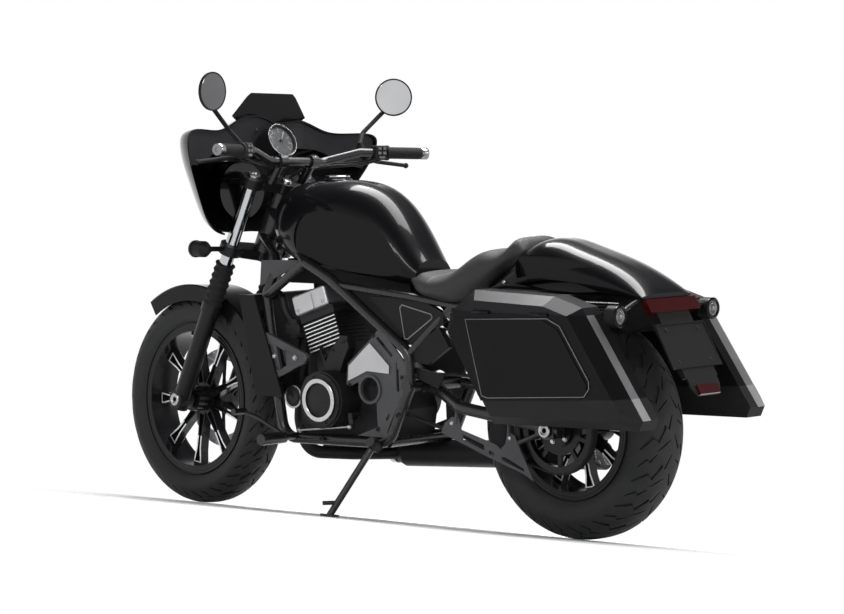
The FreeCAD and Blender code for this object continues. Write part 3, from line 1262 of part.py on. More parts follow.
TANK_STATION_SHARES = [(0.0, 0.0, 0.24, 0.52), (0.09, 0.01, 0.48, 0.66), (0.26, 0.06, 0.84, 0.84),
                       (0.45, 0.11, 0.985, 0.97), (0.62, 0.15, 1.0, 1.0), (0.80, 0.22, 0.975, 0.90),
                       (0.93, 0.32, 0.91, 0.68), (1.0, 0.42, 0.82, 0.46)]
TANK_SECTION_SHARES = [(0.0, 1.0), (0.34, 0.985), (0.66, 0.89), (0.88, 0.70), (1.0, 0.42), (0.97, 0.18),
                       (0.82, 0.03), (0.42, 0.0), (0.0, 0.0)]


def body_section(x, low, high, half_width, shares):
    half = [vec(x, half_width * a, blend(low, high, b)) for a, b in shares]
    return spline_loop(mirrored_loop(half), loop_spacing(shares, 1.5))


KNEE_ARCH_SHARES = [(0.70, 0.225), (0.73, 0.52), (0.684, 0.654), (0.596, 0.705), (0.433, 0.70), (0.325, 0.648),
                    (0.218, 0.577), (0.146, 0.497), (0.075, 0.389), (0.012, 0.26), (-0.047, 0.13)]
KNEE_FLOOR_SHARES = [(-0.047, -0.2), (0.70, -0.2)]


def tank_outline(shares):
    return [(blend(TANK_REAR_X, TANK_FRONT_X, a), blend(TANK_BOTTOM, TANK_TOP, b)) for a, b in shares]


def station_loft(stations, rear_x, front_x, bottom, top, half_width, shares):
    wires = []
    for x, low, high, width in stations:
        wires.append(body_section(blend(rear_x, front_x, x), blend(bottom, top, low), blend(bottom, top, high),
                                  half_width * width, shares))
    return loft(wires)


def fuel_tank(frame):
    body = station_loft(TANK_STATION_SHARES, TANK_REAR_X, TANK_FRONT_X, TANK_BOTTOM, TANK_TOP, TANK_HALF_WIDTH,
                        TANK_SECTION_SHARES)
    knee = scoop(tank_outline(KNEE_ARCH_SHARES), tank_outline(KNEE_FLOOR_SHARES), KNEE_REAR_Y, KNEE_FRONT_Y, 0.0,
                 TANK_HALF_WIDTH)
    yoke_room = rod(fork_point(-FORK_OFFSET, 0, UPPER_YOKE - MOVING_GAP), fork_point(-FORK_OFFSET, 0, STANCHION_TOP * 2),
                    FORK_HALF_SPAN)
    return biggest(cut_all(body, [frame, yoke_room, knee, mirrored(knee)]))


TAIL_HIGH_ARCH_SHARES = [(0.815, 0.74), (0.625, 0.785), (0.45, 0.71), (0.31, 0.59)]
TAIL_HIGH_FLOOR_SHARES = [(0.43, 0.555), (0.60, 0.44), (0.77, 0.33)]
TAIL_LOW_ARCH_SHARES = [(0.77, 0.21), (0.63, 0.30), (0.51, 0.32), (0.38, 0.26), (0.26, 0.125)]
TAIL_LOW_FLOOR_SHARES = [(0.42, 0.09), (0.60, 0.12)]


def tail_outline(shares):
    return [(blend(TAIL_REAR_X, 2 * SEAT_REAR_X, a), blend(TAIL_BOTTOM, TAIL_TOP, b)) for a, b in shares]


def fuel_cap(tank):
    cap = Part.makeCylinder(CAP_RADIUS, CAP_HEIGHT * 3, vec(CAP_X, 0, TANK_TOP - CAP_HEIGHT * 2))
    return biggest(cap.cut(tank))


SEAT_STATION_SHARES = [(1.0, 0.22, 0.54, 0.56), (0.88, 0.13, 0.49, 0.82), (0.72, 0.05, 0.455, 1.0),
                       (0.58, 0.0, 0.52, 1.0), (0.46, 0.02, 0.76, 0.92), (0.33, 0.22, 0.92, 0.84),
                       (0.16, 0.58, 0.99, 0.76), (0.0, 0.88, 0.96, 0.62)]
SEAT_SECTION_SHARES = [(0.0, 1.0), (0.40, 0.985), (0.74, 0.91), (0.95, 0.70), (1.0, 0.44), (0.94, 0.14),
                       (0.78, 0.0), (0.40, 0.0), (0.0, 0.0)]
TAIL_STATION_SHARES = [(1.0, 0.05, 0.16, 0.82), (0.86, 0.04, 0.62, 0.94), (0.76, 0.03, 0.96, 0.98),
                       (0.50, 0.02, 0.98, 1.0), (0.28, 0.02, 0.72, 0.97), (0.12, 0.01, 0.44, 0.92), (0.0, 0.0, 0.10, 0.86)]


def seat(tank, frame):
    body = station_loft(SEAT_STATION_SHARES, SEAT_REAR_X, TANK_REAR_X + CAP_RADIUS / 2, SEAT_BOTTOM, SEAT_TOP,
                        SEAT_HALF_WIDTH, SEAT_SECTION_SHARES)
    return biggest(body.cut(tank).cut(frame))


def tail_cowl(cushion, frame):
    body = station_loft(TAIL_STATION_SHARES, TAIL_REAR_X, 2 * SEAT_REAR_X, TAIL_BOTTOM, TAIL_TOP,
                        TAIL_HALF_WIDTH, TANK_SECTION_SHARES)
    cuts = [cushion, frame]
    for arch, floor in ((TAIL_HIGH_ARCH_SHARES, TAIL_HIGH_FLOOR_SHARES), (TAIL_LOW_ARCH_SHARES, TAIL_LOW_FLOOR_SHARES)):
        dish = scoop(tail_outline(arch), tail_outline(floor), SCOOP_Y, SCOOP_Y, SCOOP_TILT, TAIL_HALF_WIDTH)
        cuts += [dish, mirrored(dish)]
    return biggest(cut_all(body, cuts))


def rear_fender(frame, tail):
    hood = fender_sector(REAR_AXLE, FENDER_RADIUS, REAR_FENDER_HALF_WIDTH, 35.0, 142.0)
    flap = side_plate([(TAIL_REAR_X + FENDER_SKIRT * 2.6, TAIL_BOTTOM), (TAIL_REAR_X, TAIL_BOTTOM),
                       (TAIL_REAR_X - FENDER_SKIRT * 2.6, TAIL_BOTTOM - FENDER_SKIRT * 4.6),
                       (TAIL_REAR_X - FENDER_SKIRT * 2.3, TAIL_BOTTOM - FENDER_SKIRT * 4.7),
                       (TAIL_REAR_X + FENDER_SKIRT * 0.1, TAIL_BOTTOM - FENDER_SKIRT * 1.4),
                       (TAIL_REAR_X + FENDER_SKIRT * 1.7, TAIL_BOTTOM - FENDER_SKIRT * 2.1)],
                      -REAR_FENDER_HALF_WIDTH * 0.7, REAR_FENDER_HALF_WIDTH * 0.7)
    tyre_room = disc(REAR_AXLE, REAR_FENDER_HALF_WIDTH - FENDER_THICKNESS, FENDER_RADIUS)
    return biggest(cut_all(join([hood, flap, reflector_hanger()]), [frame, tail, tyre_room]))


PLATE_WIDTH = 220.0
PLATE_HEIGHT = 136.0
HANGER_SHARES = [(0.86, 0.30), (1.10, 0.30), (1.22, 0.22)]


def tail_point(share, out):
    top = vec(TAIL_REAR_X, 0, TAIL_BOTTOM)
    foot = vec(TAIL_REAR_X - FENDER_SKIRT * 2.6, 0, TAIL_BOTTOM - FENDER_SKIRT * 4.6)
    along = unit(foot - top)
    normal = vec(along.z, 0, -along.x)
    return top + (foot - top) * share + normal * out


def sloped_box(share, length, half_width, thickness, out):
    a = tail_point(share, out)
    along = unit(tail_point(1.0, 0) - tail_point(0.0, 0))
    normal = vec(along.z, 0, -along.x)
    b = a + along * length
    points = [a, b, b + normal * thickness, a + normal * thickness]
    face = Part.Face(polygon([p - vec(0, half_width, 0) for p in points]))
    return face.extrude(vec(0, 2 * half_width, 0))


def number_plate():
    return sloped_box(0.32, PLATE_HEIGHT, PLATE_WIDTH / 2, PLATE_THICKNESS / 2, 0.0)


def reflector_hanger():
    half = [tail_point(a, -PLATE_THICKNESS) + vec(0, PLATE_WIDTH * b, 0) for a, b in HANGER_SHARES]
    other = [vec(p.x, -p.y, p.z) for p in reversed(half)]
    along = unit(tail_point(1.0, 0) - tail_point(0.0, 0))
    return Part.Face(polygon(half + other)).extrude(vec(along.z, 0, -along.x) * PLATE_THICKNESS)


def rear_lamps(tail, fender):
    lamp = sloped_box(0.02, MUFFLER_RADIUS, TAIL_HALF_WIDTH * 0.86, PLATE_THICKNESS * 3, -PLATE_THICKNESS)
    reflector = sloped_box(1.10, CAP_RADIUS * 0.8, CAP_RADIUS * 1.25, PLATE_THICKNESS, 0.0)
    lamp = biggest(lamp.cut(tail).cut(fender))
    return apart([lamp, reflector.cut(fender)])


def rear_indicators(tail):
    shapes = []
    for side in (-1.0, 1.0):
        x = TAIL_REAR_X + AXLE_RADIUS * 1.6
        root = vec(x, side * TAIL_HALF_WIDTH * 0.7, TAIL_BOTTOM + AXLE_RADIUS * 0.4)
        tip = vec(x, side * GRIP_LENGTH * 1.62, TAIL_BOTTOM - MUFFLER_RADIUS)
        head = rod(tip + vec(GRIP_RADIUS, 0, 0), tip - vec(GRIP_RADIUS, 0, 0), MUFFLER_RADIUS * 0.75)
        shapes.append(biggest(join([rod(root, tip, AXLE_RADIUS * 0.7), head]).cut(tail)))
    return apart(shapes)


SIDE_COVER_SHARES = [(0.264, 0.819), (-0.054, 0.823), (-0.218, 0.745), (-0.213, 0.693), (-0.007, 0.556)]
UNDER_BOX_SHARES = [(0.007, 0.531), (-0.194, 0.667), (-0.259, 0.558), (-0.122, 0.455), (-0.027, 0.465)]
PEG_BRACKET_SHARES = [(-0.02, 0.436), (-0.044, 0.37), (-0.173, 0.323), (-0.209, 0.401)]


def side_covers(frame):
    inner = RAIL_HALF_WIDTH
    cover = side_plate(frame_outline(SIDE_COVER_SHARES), inner, inner + FRAME_TUBE_RADIUS)
    outside_belt = BELT_INNER_Y + BELT_WIDTH + MOVING_GAP
    under = side_plate(frame_outline(UNDER_BOX_SHARES), outside_belt, outside_belt + FRAME_TUBE_RADIUS)
    bracket = side_plate(frame_outline(PEG_BRACKET_SHARES), outside_belt + RUNNING_GAP, outside_belt + BOLT_HOLE_RADIUS)
    shapes = []
    for one in (cover, under, bracket):
        for shape in (one, mirrored(one)):
            shapes.append(biggest(shape.cut(frame)))
    return apart(shapes)


PANEL_SHARES = [(0.967, 0.707), (0.90, 0.787), (0.451, 0.813), (0.371, 0.737), (0.228, 0.346), (0.228, 0.287),
                (0.263, 0.232), (0.785, 0.18), (0.827, 0.214)]


# Panniers

PANNIER_OUTLINE_SHARES = [(0.0, 0.10), (0.02, 0.02), (0.76, 0.0), (1.0, 0.70), (0.97, 0.84), (0.85, 1.0), (0.44, 0.975),
                          (0.30, 0.90)]


def pannier_outline(inset, y, squeeze):
    points = []
    middle_x = (PANNIER_REAR_X + PANNIER_FRONT_X) / 2
    middle_z = (PANNIER_BOTTOM + PANNIER_TOP) / 2
    for a, b in PANNIER_OUTLINE_SHARES:
        x = blend(PANNIER_REAR_X, PANNIER_FRONT_X, a)
        z = blend(PANNIER_BOTTOM, PANNIER_TOP, b)
        points.append(vec(middle_x + (x - middle_x) * squeeze, y, middle_z + (z - middle_z) * squeeze))
    wire = polygon(points)
    if inset:
        wire = wire.makeOffset2D(-inset, 2, False, False, False)
    return wire


def pannier_panel(body):
    outline = []
    for a, b in PANEL_SHARES:
        outline.append((blend(PANNIER_REAR_X, PANNIER_FRONT_X, a), blend(PANNIER_BOTTOM, PANNIER_TOP, b)))
    block = side_plate(outline, (PANNIER_INNER_Y + PANNIER_OUTER_Y) / 2, PANNIER_OUTER_Y + PANEL_RISE)
    return body.common(block)


def pannier_body(inset):
    depth = PANNIER_OUTER_Y - PANNIER_INNER_Y
    wires = [pannier_outline(inset, PANNIER_INNER_Y + inset, 1.0),
             pannier_outline(inset, PANNIER_INNER_Y + depth * 0.6, 1.0),
             pannier_outline(inset, PANNIER_OUTER_Y - inset, 0.86)]
    return loft(wires, True)


def lid_slab():
    low = vec(PANNIER_REAR_X - CUT_OVER, PANNIER_INNER_Y - CUT_OVER, PANNIER_LID_Z)
    return Part.makeBox(PANNIER_FRONT_X - PANNIER_REAR_X + 2 * CUT_OVER, PANNIER_OUTER_Y - PANNIER_INNER_Y + 2 * CUT_OVER,
                        PANNIER_TOP, low)


def pannier_parts():
    outer = pannier_body(0.0)
    inner = pannier_body(PANNIER_WALL)
    raised = pannier_body(-PANEL_RISE)
    shell = outer.fuse(pannier_panel(raised)).cut(inner)
    slab = lid_slab()
    lid = biggest(shell.common(slab))
    base_slab = slab.copy()
    base_slab.translate(vec(0, 0, -RUNNING_GAP))
    base = biggest(shell.cut(base_slab))
    return base, lid


# Foot controls and side stand


def foot_controls(frame):
    peg_z = CRADLE_BOTTOM
    peg_x = blend(PIVOT_X, CRADLE_FRONT_X, 0.76)
    bracket = rod(vec(peg_x, CRADLE_HALF_WIDTH * 0.9, peg_z), vec(peg_x, CRADLE_HALF_WIDTH * 1.4, peg_z), AXLE_RADIUS)
    peg = rod(vec(peg_x, CRADLE_HALF_WIDTH * 1.4, peg_z), vec(peg_x, CRADLE_HALF_WIDTH * 2.1, peg_z), GRIP_RADIUS)
    pedal = bent_tube([vec(peg_x, CRADLE_HALF_WIDTH * 1.3, peg_z), vec(peg_x + GRIP_LENGTH * 0.8, CRADLE_HALF_WIDTH * 1.4, peg_z + GRIP_RADIUS * 3),
                       vec(peg_x + GRIP_LENGTH * 1.3, CRADLE_HALF_WIDTH * 1.4, peg_z + GRIP_RADIUS * 4)], AXLE_RADIUS * 0.6, BEND_RADIUS)
    toe = rod(vec(peg_x + GRIP_LENGTH * 1.3, CRADLE_HALF_WIDTH * 1.35, peg_z + GRIP_RADIUS * 4),
              vec(peg_x + GRIP_LENGTH * 1.3, CRADLE_HALF_WIDTH * 1.7, peg_z + GRIP_RADIUS * 4), AXLE_RADIUS)
    one = join([bracket, peg, pedal, toe])
    return apart([biggest(one.cut(frame)), biggest(mirrored(one).cut(frame))])


# The parked attitude: both tyres and the stand's foot on the floor

def steer_turn():
    return Placement(vec(0, 0, 0), Rotation(STEER_AXIS, REST_STEER), STEER_POINT)


def tyre_height(centre, axis, radius, width, rim, up):
    across = abs(up.dot(axis))
    around = math.sqrt(1.0 - across * across)
    drops = [around * blend(rim, radius, t) + across * width / 2 * s for s, t in TYRE_SECTION_SHARES]
    return up.dot(centre) - max(drops)


def wheel_heights(up):
    turn = steer_turn()
    front_axle = turn.multVec(FRONT_AXLE)
    front_axis = turn.multVec(FRONT_AXLE + vec(0, 1, 0)) - front_axle
    rear = tyre_height(REAR_AXLE, vec(0, 1, 0), REAR_RADIUS, REAR_TYRE_WIDTH, REAR_RIM_RADIUS, up)
    front = tyre_height(front_axle, front_axis, FRONT_RADIUS, FRONT_TYRE_WIDTH, FRONT_RIM_RADIUS, up)
    return rear, front


def floor_up():
    lean = math.radians(LEAN)
    pitch = 0.0
    for step in range(8):
        up = unit(vec(pitch, -math.sin(lean), math.cos(lean)))
        rear, front = wheel_heights(up)
        pitch += (rear - front) / WHEELBASE
    return up


FLOOR_UP = floor_up()
FLOOR_HEIGHT = wheel_heights(FLOOR_UP)[0]
STAND_PIVOT = vec(STAND_PIVOT_X, STAND_PIVOT_Y, STAND_PIVOT_Z)


def stand_foot():
    base = vec(STAND_FOOT_X, STAND_FOOT_Y, 0)
    rise = (FLOOR_HEIGHT - FLOOR_UP.dot(base)) / FLOOR_UP.z
    return base + vec(0, 0, rise)


def stand_down():
    return unit(stand_foot() - STAND_PIVOT)


def stand_axis():
    folded = unit(vec(-STAND_FOOT_Y, STAND_RADIUS * 2.5, STAND_FOLDED_RISE))
    return unit(stand_down().cross(folded))


def side_stand():
    foot = stand_foot()
    toe = foot + FLOOR_UP * STAND_FOOT_HEIGHT / 2
    axis = stand_axis()
    eye = rod(STAND_PIVOT - axis * STAND_RADIUS, STAND_PIVOT + axis * STAND_RADIUS, STAND_RADIUS * 1.8)
    leg = rod(STAND_PIVOT + stand_down() * STAND_RADIUS, toe, STAND_RADIUS)
    pad = rod(foot, foot + FLOOR_UP * STAND_FOOT_HEIGHT, STAND_FOOT_RADIUS)
    below = rod(foot - FLOOR_UP * STAND_FOOT_RADIUS * 2, foot, STAND_FOOT_RADIUS * 2)
    knee = STAND_PIVOT + (toe - STAND_PIVOT) * 0.82
    tang = rod(knee, knee + vec(STAND_FOOT_RADIUS, STAND_FOOT_RADIUS * 1.2, 0), STAND_RADIUS * 0.6)
    stand = join([eye, leg, pad, tang]).cut(below)
    return stand.cut(rod(STAND_PIVOT - axis * STAND_FOOT_RADIUS, STAND_PIVOT + axis * STAND_FOOT_RADIUS,
                         STAND_RADIUS * 0.7 + RUNNING_GAP / 5))


def stand_clevis():
    axis = stand_axis()
    pin = rod(STAND_PIVOT - axis * STAND_RADIUS * 1.9, STAND_PIVOT + axis * STAND_RADIUS * 1.9, STAND_RADIUS * 0.7)
    near = STAND_RADIUS + RUNNING_GAP
    ears = []
    for side in (-1.0, 1.0):
        ears.append(rod(STAND_PIVOT + axis * side * near, STAND_PIVOT + axis * side * STAND_RADIUS * 1.9,
                        STAND_RADIUS * 1.6))
    root = vec(STAND_PIVOT_X, CRADLE_HALF_WIDTH, CRADLE_BOTTOM)
    ear = STAND_PIVOT - axis * STAND_RADIUS * 1.45
    return [pin] + ears + [rod(ear, root, STAND_RADIUS * 0.45)]


def hinge_parts(base, lid):
    line = vec(0, PANNIER_OUTER_Y + HINGE_RADIUS / 2, PANNIER_LID_Z)
    length = HINGE_RADIUS * 6
    rear = vec(PANNIER_REAR_X + (PANNIER_FRONT_X - PANNIER_REAR_X) * 0.42, 0, 0)
    front = vec(PANNIER_REAR_X + (PANNIER_FRONT_X - PANNIER_REAR_X) * 0.72, 0, 0)
    for place in (rear, front):
        start = line + place
        middle = start + vec(length, 0, 0)
        end = middle + vec(length, 0, 0)
        keep = vec(RUNNING_GAP, 0, 0)
        base_knuckle = rod(start, middle, HINGE_RADIUS)
        lid_knuckle = rod(middle + keep, end, HINGE_RADIUS)
        base = base.cut(rod(middle, end + keep, HINGE_RADIUS + RUNNING_GAP))
        lid = lid.cut(rod(start - keep, middle + keep, HINGE_RADIUS + RUNNING_GAP))
        base = base.fuse(base_knuckle)
        lid = lid.fuse(lid_knuckle)
    return biggest(base), biggest(lid)


def settle(shape):
    turn = Placement(vec(0, 0, 0), Rotation(FLOOR_UP, vec(0, 0, 1)))
    return placed(shape, turn)


def steered_rest(shape):
    return placed(shape, steer_turn())


# List of nodes and export

tubes = join([frame_tubes()] + stand_clevis())
rails = rear_frame(tubes)
whole_frame = tubes.fuse(rails)
covers = engine_covers()
cooler = radiator(whole_frame)
tank = fuel_tank(whole_frame)
cushion = seat(tank, whole_frame)
tail = tail_cowl(cushion, whole_frame)
fender = rear_fender(whole_frame, tail)
pipes = exhaust(whole_frame)
arm = swingarm()
clamps = yokes()
bar = handlebar(clamps)
controls = hand_controls(bar)
shell = fairing()
sliders = fork_sliders()
gaiters = fork_gaiters()
front_tyre = tyre(FRONT_AXLE, FRONT_RADIUS, FRONT_TYRE_WIDTH, FRONT_RIM_RADIUS)
rear_tyre = tyre(REAR_AXLE, REAR_RADIUS, REAR_TYRE_WIDTH, REAR_RIM_RADIUS)
pannier_base, pannier_lid = pannier_parts()
pannier_base, pannier_lid = hinge_parts(pannier_base, pannier_lid)

chassis = {
    "frame_tubes": tubes,
    "rear_frame": rails,
    "frame_plates": frame_plates(whole_frame, covers, cooler, tank),
    "crankcase": crankcase(pipes),
    "cylinders": cylinders(whole_frame, cooler, pipes),
    "head_cover": head_cover(),
    "engine_covers": covers,
    "side_trim": side_trim(covers),
    "radiator": cooler,
    "exhaust": pipes,
    "fuel_tank": tank,
    "fuel_cap": fuel_cap(tank),
    "seat": cushion,
    "tail_cowl": tail,
    "rear_fender": fender,
    "rear_lamps": rear_lamps(tail, fender),
    "rear_indicators": rear_indicators(tail),
    "number_plate": number_plate(),
    "side_covers": side_covers(whole_frame),
    "swingarm": arm,
    "shock_absorbers": shock_absorbers(whole_frame, arm),
    "drive_belt": drive_belt(),
    "belt_guard": belt_guard(arm),
    "pannier_shell_left": pannier_base,
    "pannier_shell_right": mirrored(pannier_base),
    "foot_controls": foot_controls(whole_frame),
    "rear_brake": rear_brake(arm),
}
steered = {
    "fork_stanchions": fork_stanchions(),
    "fork_sliders": sliders,
    "fork_gaiters": gaiters,
    "yokes": clamps,
    "handlebar": bar,
    "hand_controls": controls,
    "mirrors": mirrors(controls),
    "fairing": shell,
    "dash_panel": dash_panel(shell),
    "windscreen": windscreen(shell),
    "headlamp": headlamp(),
    "instrument": instrument(),
    "front_fender": front_fender(sliders, gaiters),
    "front_indicators": front_indicators(),
    "front_brake": front_brake(),
    "front_tyre": front_tyre,
    "front_rim": front_rim(front_tyre),
    "front_disc": front_disc(),
}
loose = {
    "rear_tyre": rear_tyre,
    "rear_rim": rear_rim(rear_tyre),
    "rear_pulley": rear_pulley(),
    "rear_disc": rear_disc(),
    "side_stand": side_stand(),
    "pannier_lid_left": pannier_lid,
    "pannier_lid_right": mirrored(pannier_lid),
}


def collect():
    nodes = {}
    for name, shape in chassis.items():
        nodes[name] = settle(shape)
    for name, shape in steered.items():
        nodes[name] = settle(steered_rest(shape))
    for name, shape in loose.items():
        nodes[name] = settle(shape)
    return nodes


nodes = collect()
box = FreeCAD.BoundBox()
for shape in nodes.values():
    box.add(shape.optimalBoundingBox(True))
shift = vec(-(box.XMin + box.XMax) / 2, -(box.YMin + box.YMax) / 2, -box.ZMin)
for name, shape in nodes.items():
    shape.translate(shift)
    print(name, len(shape.Solids), round(shape.Volume), shape.isValid())
    shape.exportStep("parts/" + name + ".step")


def to_row(point, steer=False):
    turn = Placement(vec(0, 0, 0), Rotation(FLOOR_UP, vec(0, 0, 1)))
    moved = steer_turn().multVec(point) if steer else point
    return turn.multVec(moved) + shift


def report(name, point, direction, steer=False):
    a = to_row(point, steer)
    b = to_row(point + unit(direction), steer)
    print("axis", name, [round(v / 1000, 6) for v in a], [round(v, 6) for v in (b - a)])


report("steering", STEER_POINT, STEER_AXIS)
report("front_wheel", FRONT_AXLE, vec(0, 1, 0), True)
report("rear_wheel", REAR_AXLE, vec(0, 1, 0))
report("side_stand", STAND_PIVOT, stand_axis())
report("pannier_lid_left", vec(0, PANNIER_OUTER_Y + HINGE_RADIUS / 2, PANNIER_LID_Z), vec(1, 0, 0))
report("pannier_lid_right", vec(0, -PANNIER_OUTER_Y - HINGE_RADIUS / 2, PANNIER_LID_Z), vec(1, 0, 0))
print("size", [round(v) for v in (box.XLength, box.YLength, box.ZLength)])
print("lean", LEAN, "up", FLOOR_UP)
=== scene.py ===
# %% [markdown]
# A cruiser motorcycle, dressed around its fixed frame. The frame holds every rigid part at its real
# size, already leaning on its side stand. This file adds the finishes and the soft and small things:
# the seat cover, the tyre tread, screws, lenses, cables and the dial. Each step says what the piece
# is on the real machine, how it could be made, and why it is made the way it is here.

# %% Load the frame
import json
import math

import bmesh
import bpy
from mathutils import Matrix, Vector
from mathutils.geometry import delaunay_2d_cdt


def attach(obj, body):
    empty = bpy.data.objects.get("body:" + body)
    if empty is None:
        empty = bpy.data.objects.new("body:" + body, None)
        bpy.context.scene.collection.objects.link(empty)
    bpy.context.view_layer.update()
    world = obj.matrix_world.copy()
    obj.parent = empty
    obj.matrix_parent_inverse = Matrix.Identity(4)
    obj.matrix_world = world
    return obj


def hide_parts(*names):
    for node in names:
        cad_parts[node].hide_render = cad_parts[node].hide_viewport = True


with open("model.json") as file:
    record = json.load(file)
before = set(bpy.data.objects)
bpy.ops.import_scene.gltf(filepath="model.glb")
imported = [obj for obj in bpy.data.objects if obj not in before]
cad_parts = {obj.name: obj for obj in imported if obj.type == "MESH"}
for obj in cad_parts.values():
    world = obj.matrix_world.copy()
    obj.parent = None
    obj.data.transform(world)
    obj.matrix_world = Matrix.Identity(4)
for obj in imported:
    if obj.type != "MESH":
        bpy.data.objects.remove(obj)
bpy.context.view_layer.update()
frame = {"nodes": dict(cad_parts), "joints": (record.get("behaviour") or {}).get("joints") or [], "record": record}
nodes = frame["nodes"]
print("frame holds", len(nodes), "nodes")

# %% [markdown]
# The machine was drawn upright: X forward, Y to the left, Z up, starting on the ground under the rear
# axle. It then leaned over on its stand. The joints in the frame still know where the rear axle and
# the steering head are, so the upright axes come back from them, and every piece below can be placed
# in upright millimetres, which are easier to think in.

# %% Upright axes
MM = 0.001
RAKE = math.radians(25.0)
WHEELBASE = 1490.0
FRONT_RADIUS = 320.0
REAR_RADIUS = 320.0
SIDES = (("left", 1.0), ("right", -1.0))
joints = {joint["name"]: joint for joint in frame["joints"]}


def joint_point(name):
    return Vector(joints[name]["pos_m"])


def joint_axis(name):
    return Vector(joints[name]["axis"]).normalized()


left_way = joint_axis("rear_wheel")
head_way = joint_axis("steering")
front_way = -math.cos(RAKE) * head_way.cross(left_way) - math.sin(RAKE) * head_way
front_way.normalize()
up_way = front_way.cross(left_way).normalized()
ground_point = joint_point("rear_wheel") - up_way * REAR_RADIUS * MM
upright = Matrix((front_way, left_way, up_way)).transposed().to_4x4()
upright.translation = ground_point
print("lean", round(math.degrees(math.acos(up_way.z)), 2), "degrees")


def at(x, y, z):
    """A point of the upright machine, in millimetres, as it stands in the frame."""
    return upright @ (Vector((x, y, z)) * MM)


def way(x, y, z):
    """A direction of the upright machine."""
    return (upright.to_3x3() @ Vector((x, y, z))).normalized()


# %% [markdown]
# The camera stood behind the machine's left side with a long lens. Its place was worked out from the
# two wheels, whose size and spacing are known, so it is written in upright millimetres too.

# %% Camera
EYE = (-6708.8, 8254.6, 1367.0)
YAW = math.radians(-48.467)
PITCH = math.radians(-3.812)
ROLL = math.radians(-0.597)
PHOTO_WIDTH = 844.0
FOCAL_PIXELS = 3800.1
SENSOR_WIDTH = 36.0
SIGHT_RANGE = 60.0


def make_camera():
    data = bpy.data.cameras.new("photo_camera")
    camera = bpy.data.objects.new("photo_camera", data)
    bpy.context.scene.collection.objects.link(camera)
    data.sensor_width = SENSOR_WIDTH
    data.lens = FOCAL_PIXELS / PHOTO_WIDTH * SENSOR_WIDTH
    data.clip_end = SIGHT_RANGE
    look = Vector((math.cos(PITCH) * math.cos(YAW), math.cos(PITCH) * math.sin(YAW), math.sin(PITCH)))
    right = look.cross(Vector((0, 0, 1))).normalized()
    above = right.cross(look)
    rolled_right = right * math.cos(ROLL) + above * math.sin(ROLL)
    rolled_above = above * math.cos(ROLL) - right * math.sin(ROLL)
    turn = Matrix((rolled_right, rolled_above, -look)).transposed()
    place = (upright.to_3x3() @ turn).to_4x4()
    place.translation = at(*EYE)
    camera.matrix_world = place
    bpy.context.scene.camera = camera


make_camera()
print("camera", round(FOCAL_PIXELS / PHOTO_WIDTH * SENSOR_WIDTH, 1), "mm lens")

# %% [markdown]
# Everything the rider turns is drawn straight ahead too, but the parked machine has its bars turned
# to one side. The front axle in the frame shows by how much. Four more frames of reference follow
# from that: the steered parts, the fork with its own upward direction, and the two wheels.

# %% Steered, fork and wheel axes
steer_point = joint_point("steering")
turned_by = left_way.rotation_difference(joint_axis("front_wheel")).to_matrix().to_4x4()
steer_turn = Matrix.Translation(steer_point) @ turned_by @ Matrix.Translation(-steer_point)
upright_mm = upright @ Matrix.Scale(MM, 4)
steered_mm = steer_turn @ upright_mm
front_wheel_mm = steered_mm @ Matrix.Translation((WHEELBASE, 0, FRONT_RADIUS))
fork_mm = front_wheel_mm @ Matrix.Rotation(-RAKE, 4, "Y")
rear_wheel_mm = upright_mm @ Matrix.Translation((0, 0, REAR_RADIUS))
axle_error = (front_wheel_mm.translation - joint_point("front_wheel")).length / MM
print("front axle off by", round(axle_error, 2), "mm")


def corners_of(node, axes):
    """The points of one of the frame's nodes, read in one of these frames of reference."""
    home = axes.inverted()
    return [home @ v.co for v in nodes[node].data.vertices]


# %% [markdown]
# A finish is a small tree of shader nodes. Written as sums and products it reads like the idea behind
# it, so one class wraps a socket and turns arithmetic into Math nodes. Another holds a tree and makes
# its nodes. It serves the finishes here and the Geometry Nodes further down.

# %% Shader maths


class Signal:
    """A socket that can be added, multiplied and so on."""

    def __init__(self, tree, socket):
        self.tree = tree
        self.socket = socket

    def combine(self, operation, first, second):
        return self.tree.node("ShaderNodeMath", {"operation": operation}, {0: first, 1: second})

    def __add__(self, other):
        return self.combine("ADD", self, other)

    def __radd__(self, other):
        return self.combine("ADD", other, self)

    def __rsub__(self, other):
        return self.combine("SUBTRACT", other, self)

    def __mul__(self, other):
        return self.combine("MULTIPLY", self, other)

    def __rmul__(self, other):
        return self.combine("MULTIPLY", other, self)

    def __truediv__(self, other):
        return self.combine("DIVIDE", self, other)

    def __pow__(self, other):
        return self.combine("POWER", self, other)

    def __gt__(self, other):
        return self.combine("GREATER_THAN", self, other)


class NodeTree:
    """A tree whose nodes are made by one method."""

    def node(self, kind, settings=None, values=None, out=0):
        made = self.tree.nodes.new(kind)
        for name, value in (settings or {}).items():
            setattr(made, name, value)
        for key, value in (values or {}).items():
            self.feed(made.inputs[key], value)
        return Signal(self, made.outputs[out])

    def feed(self, socket, value):
        if isinstance(value, Signal):
            self.tree.links.new(value.socket, socket)
        else:
            socket.default_value = value


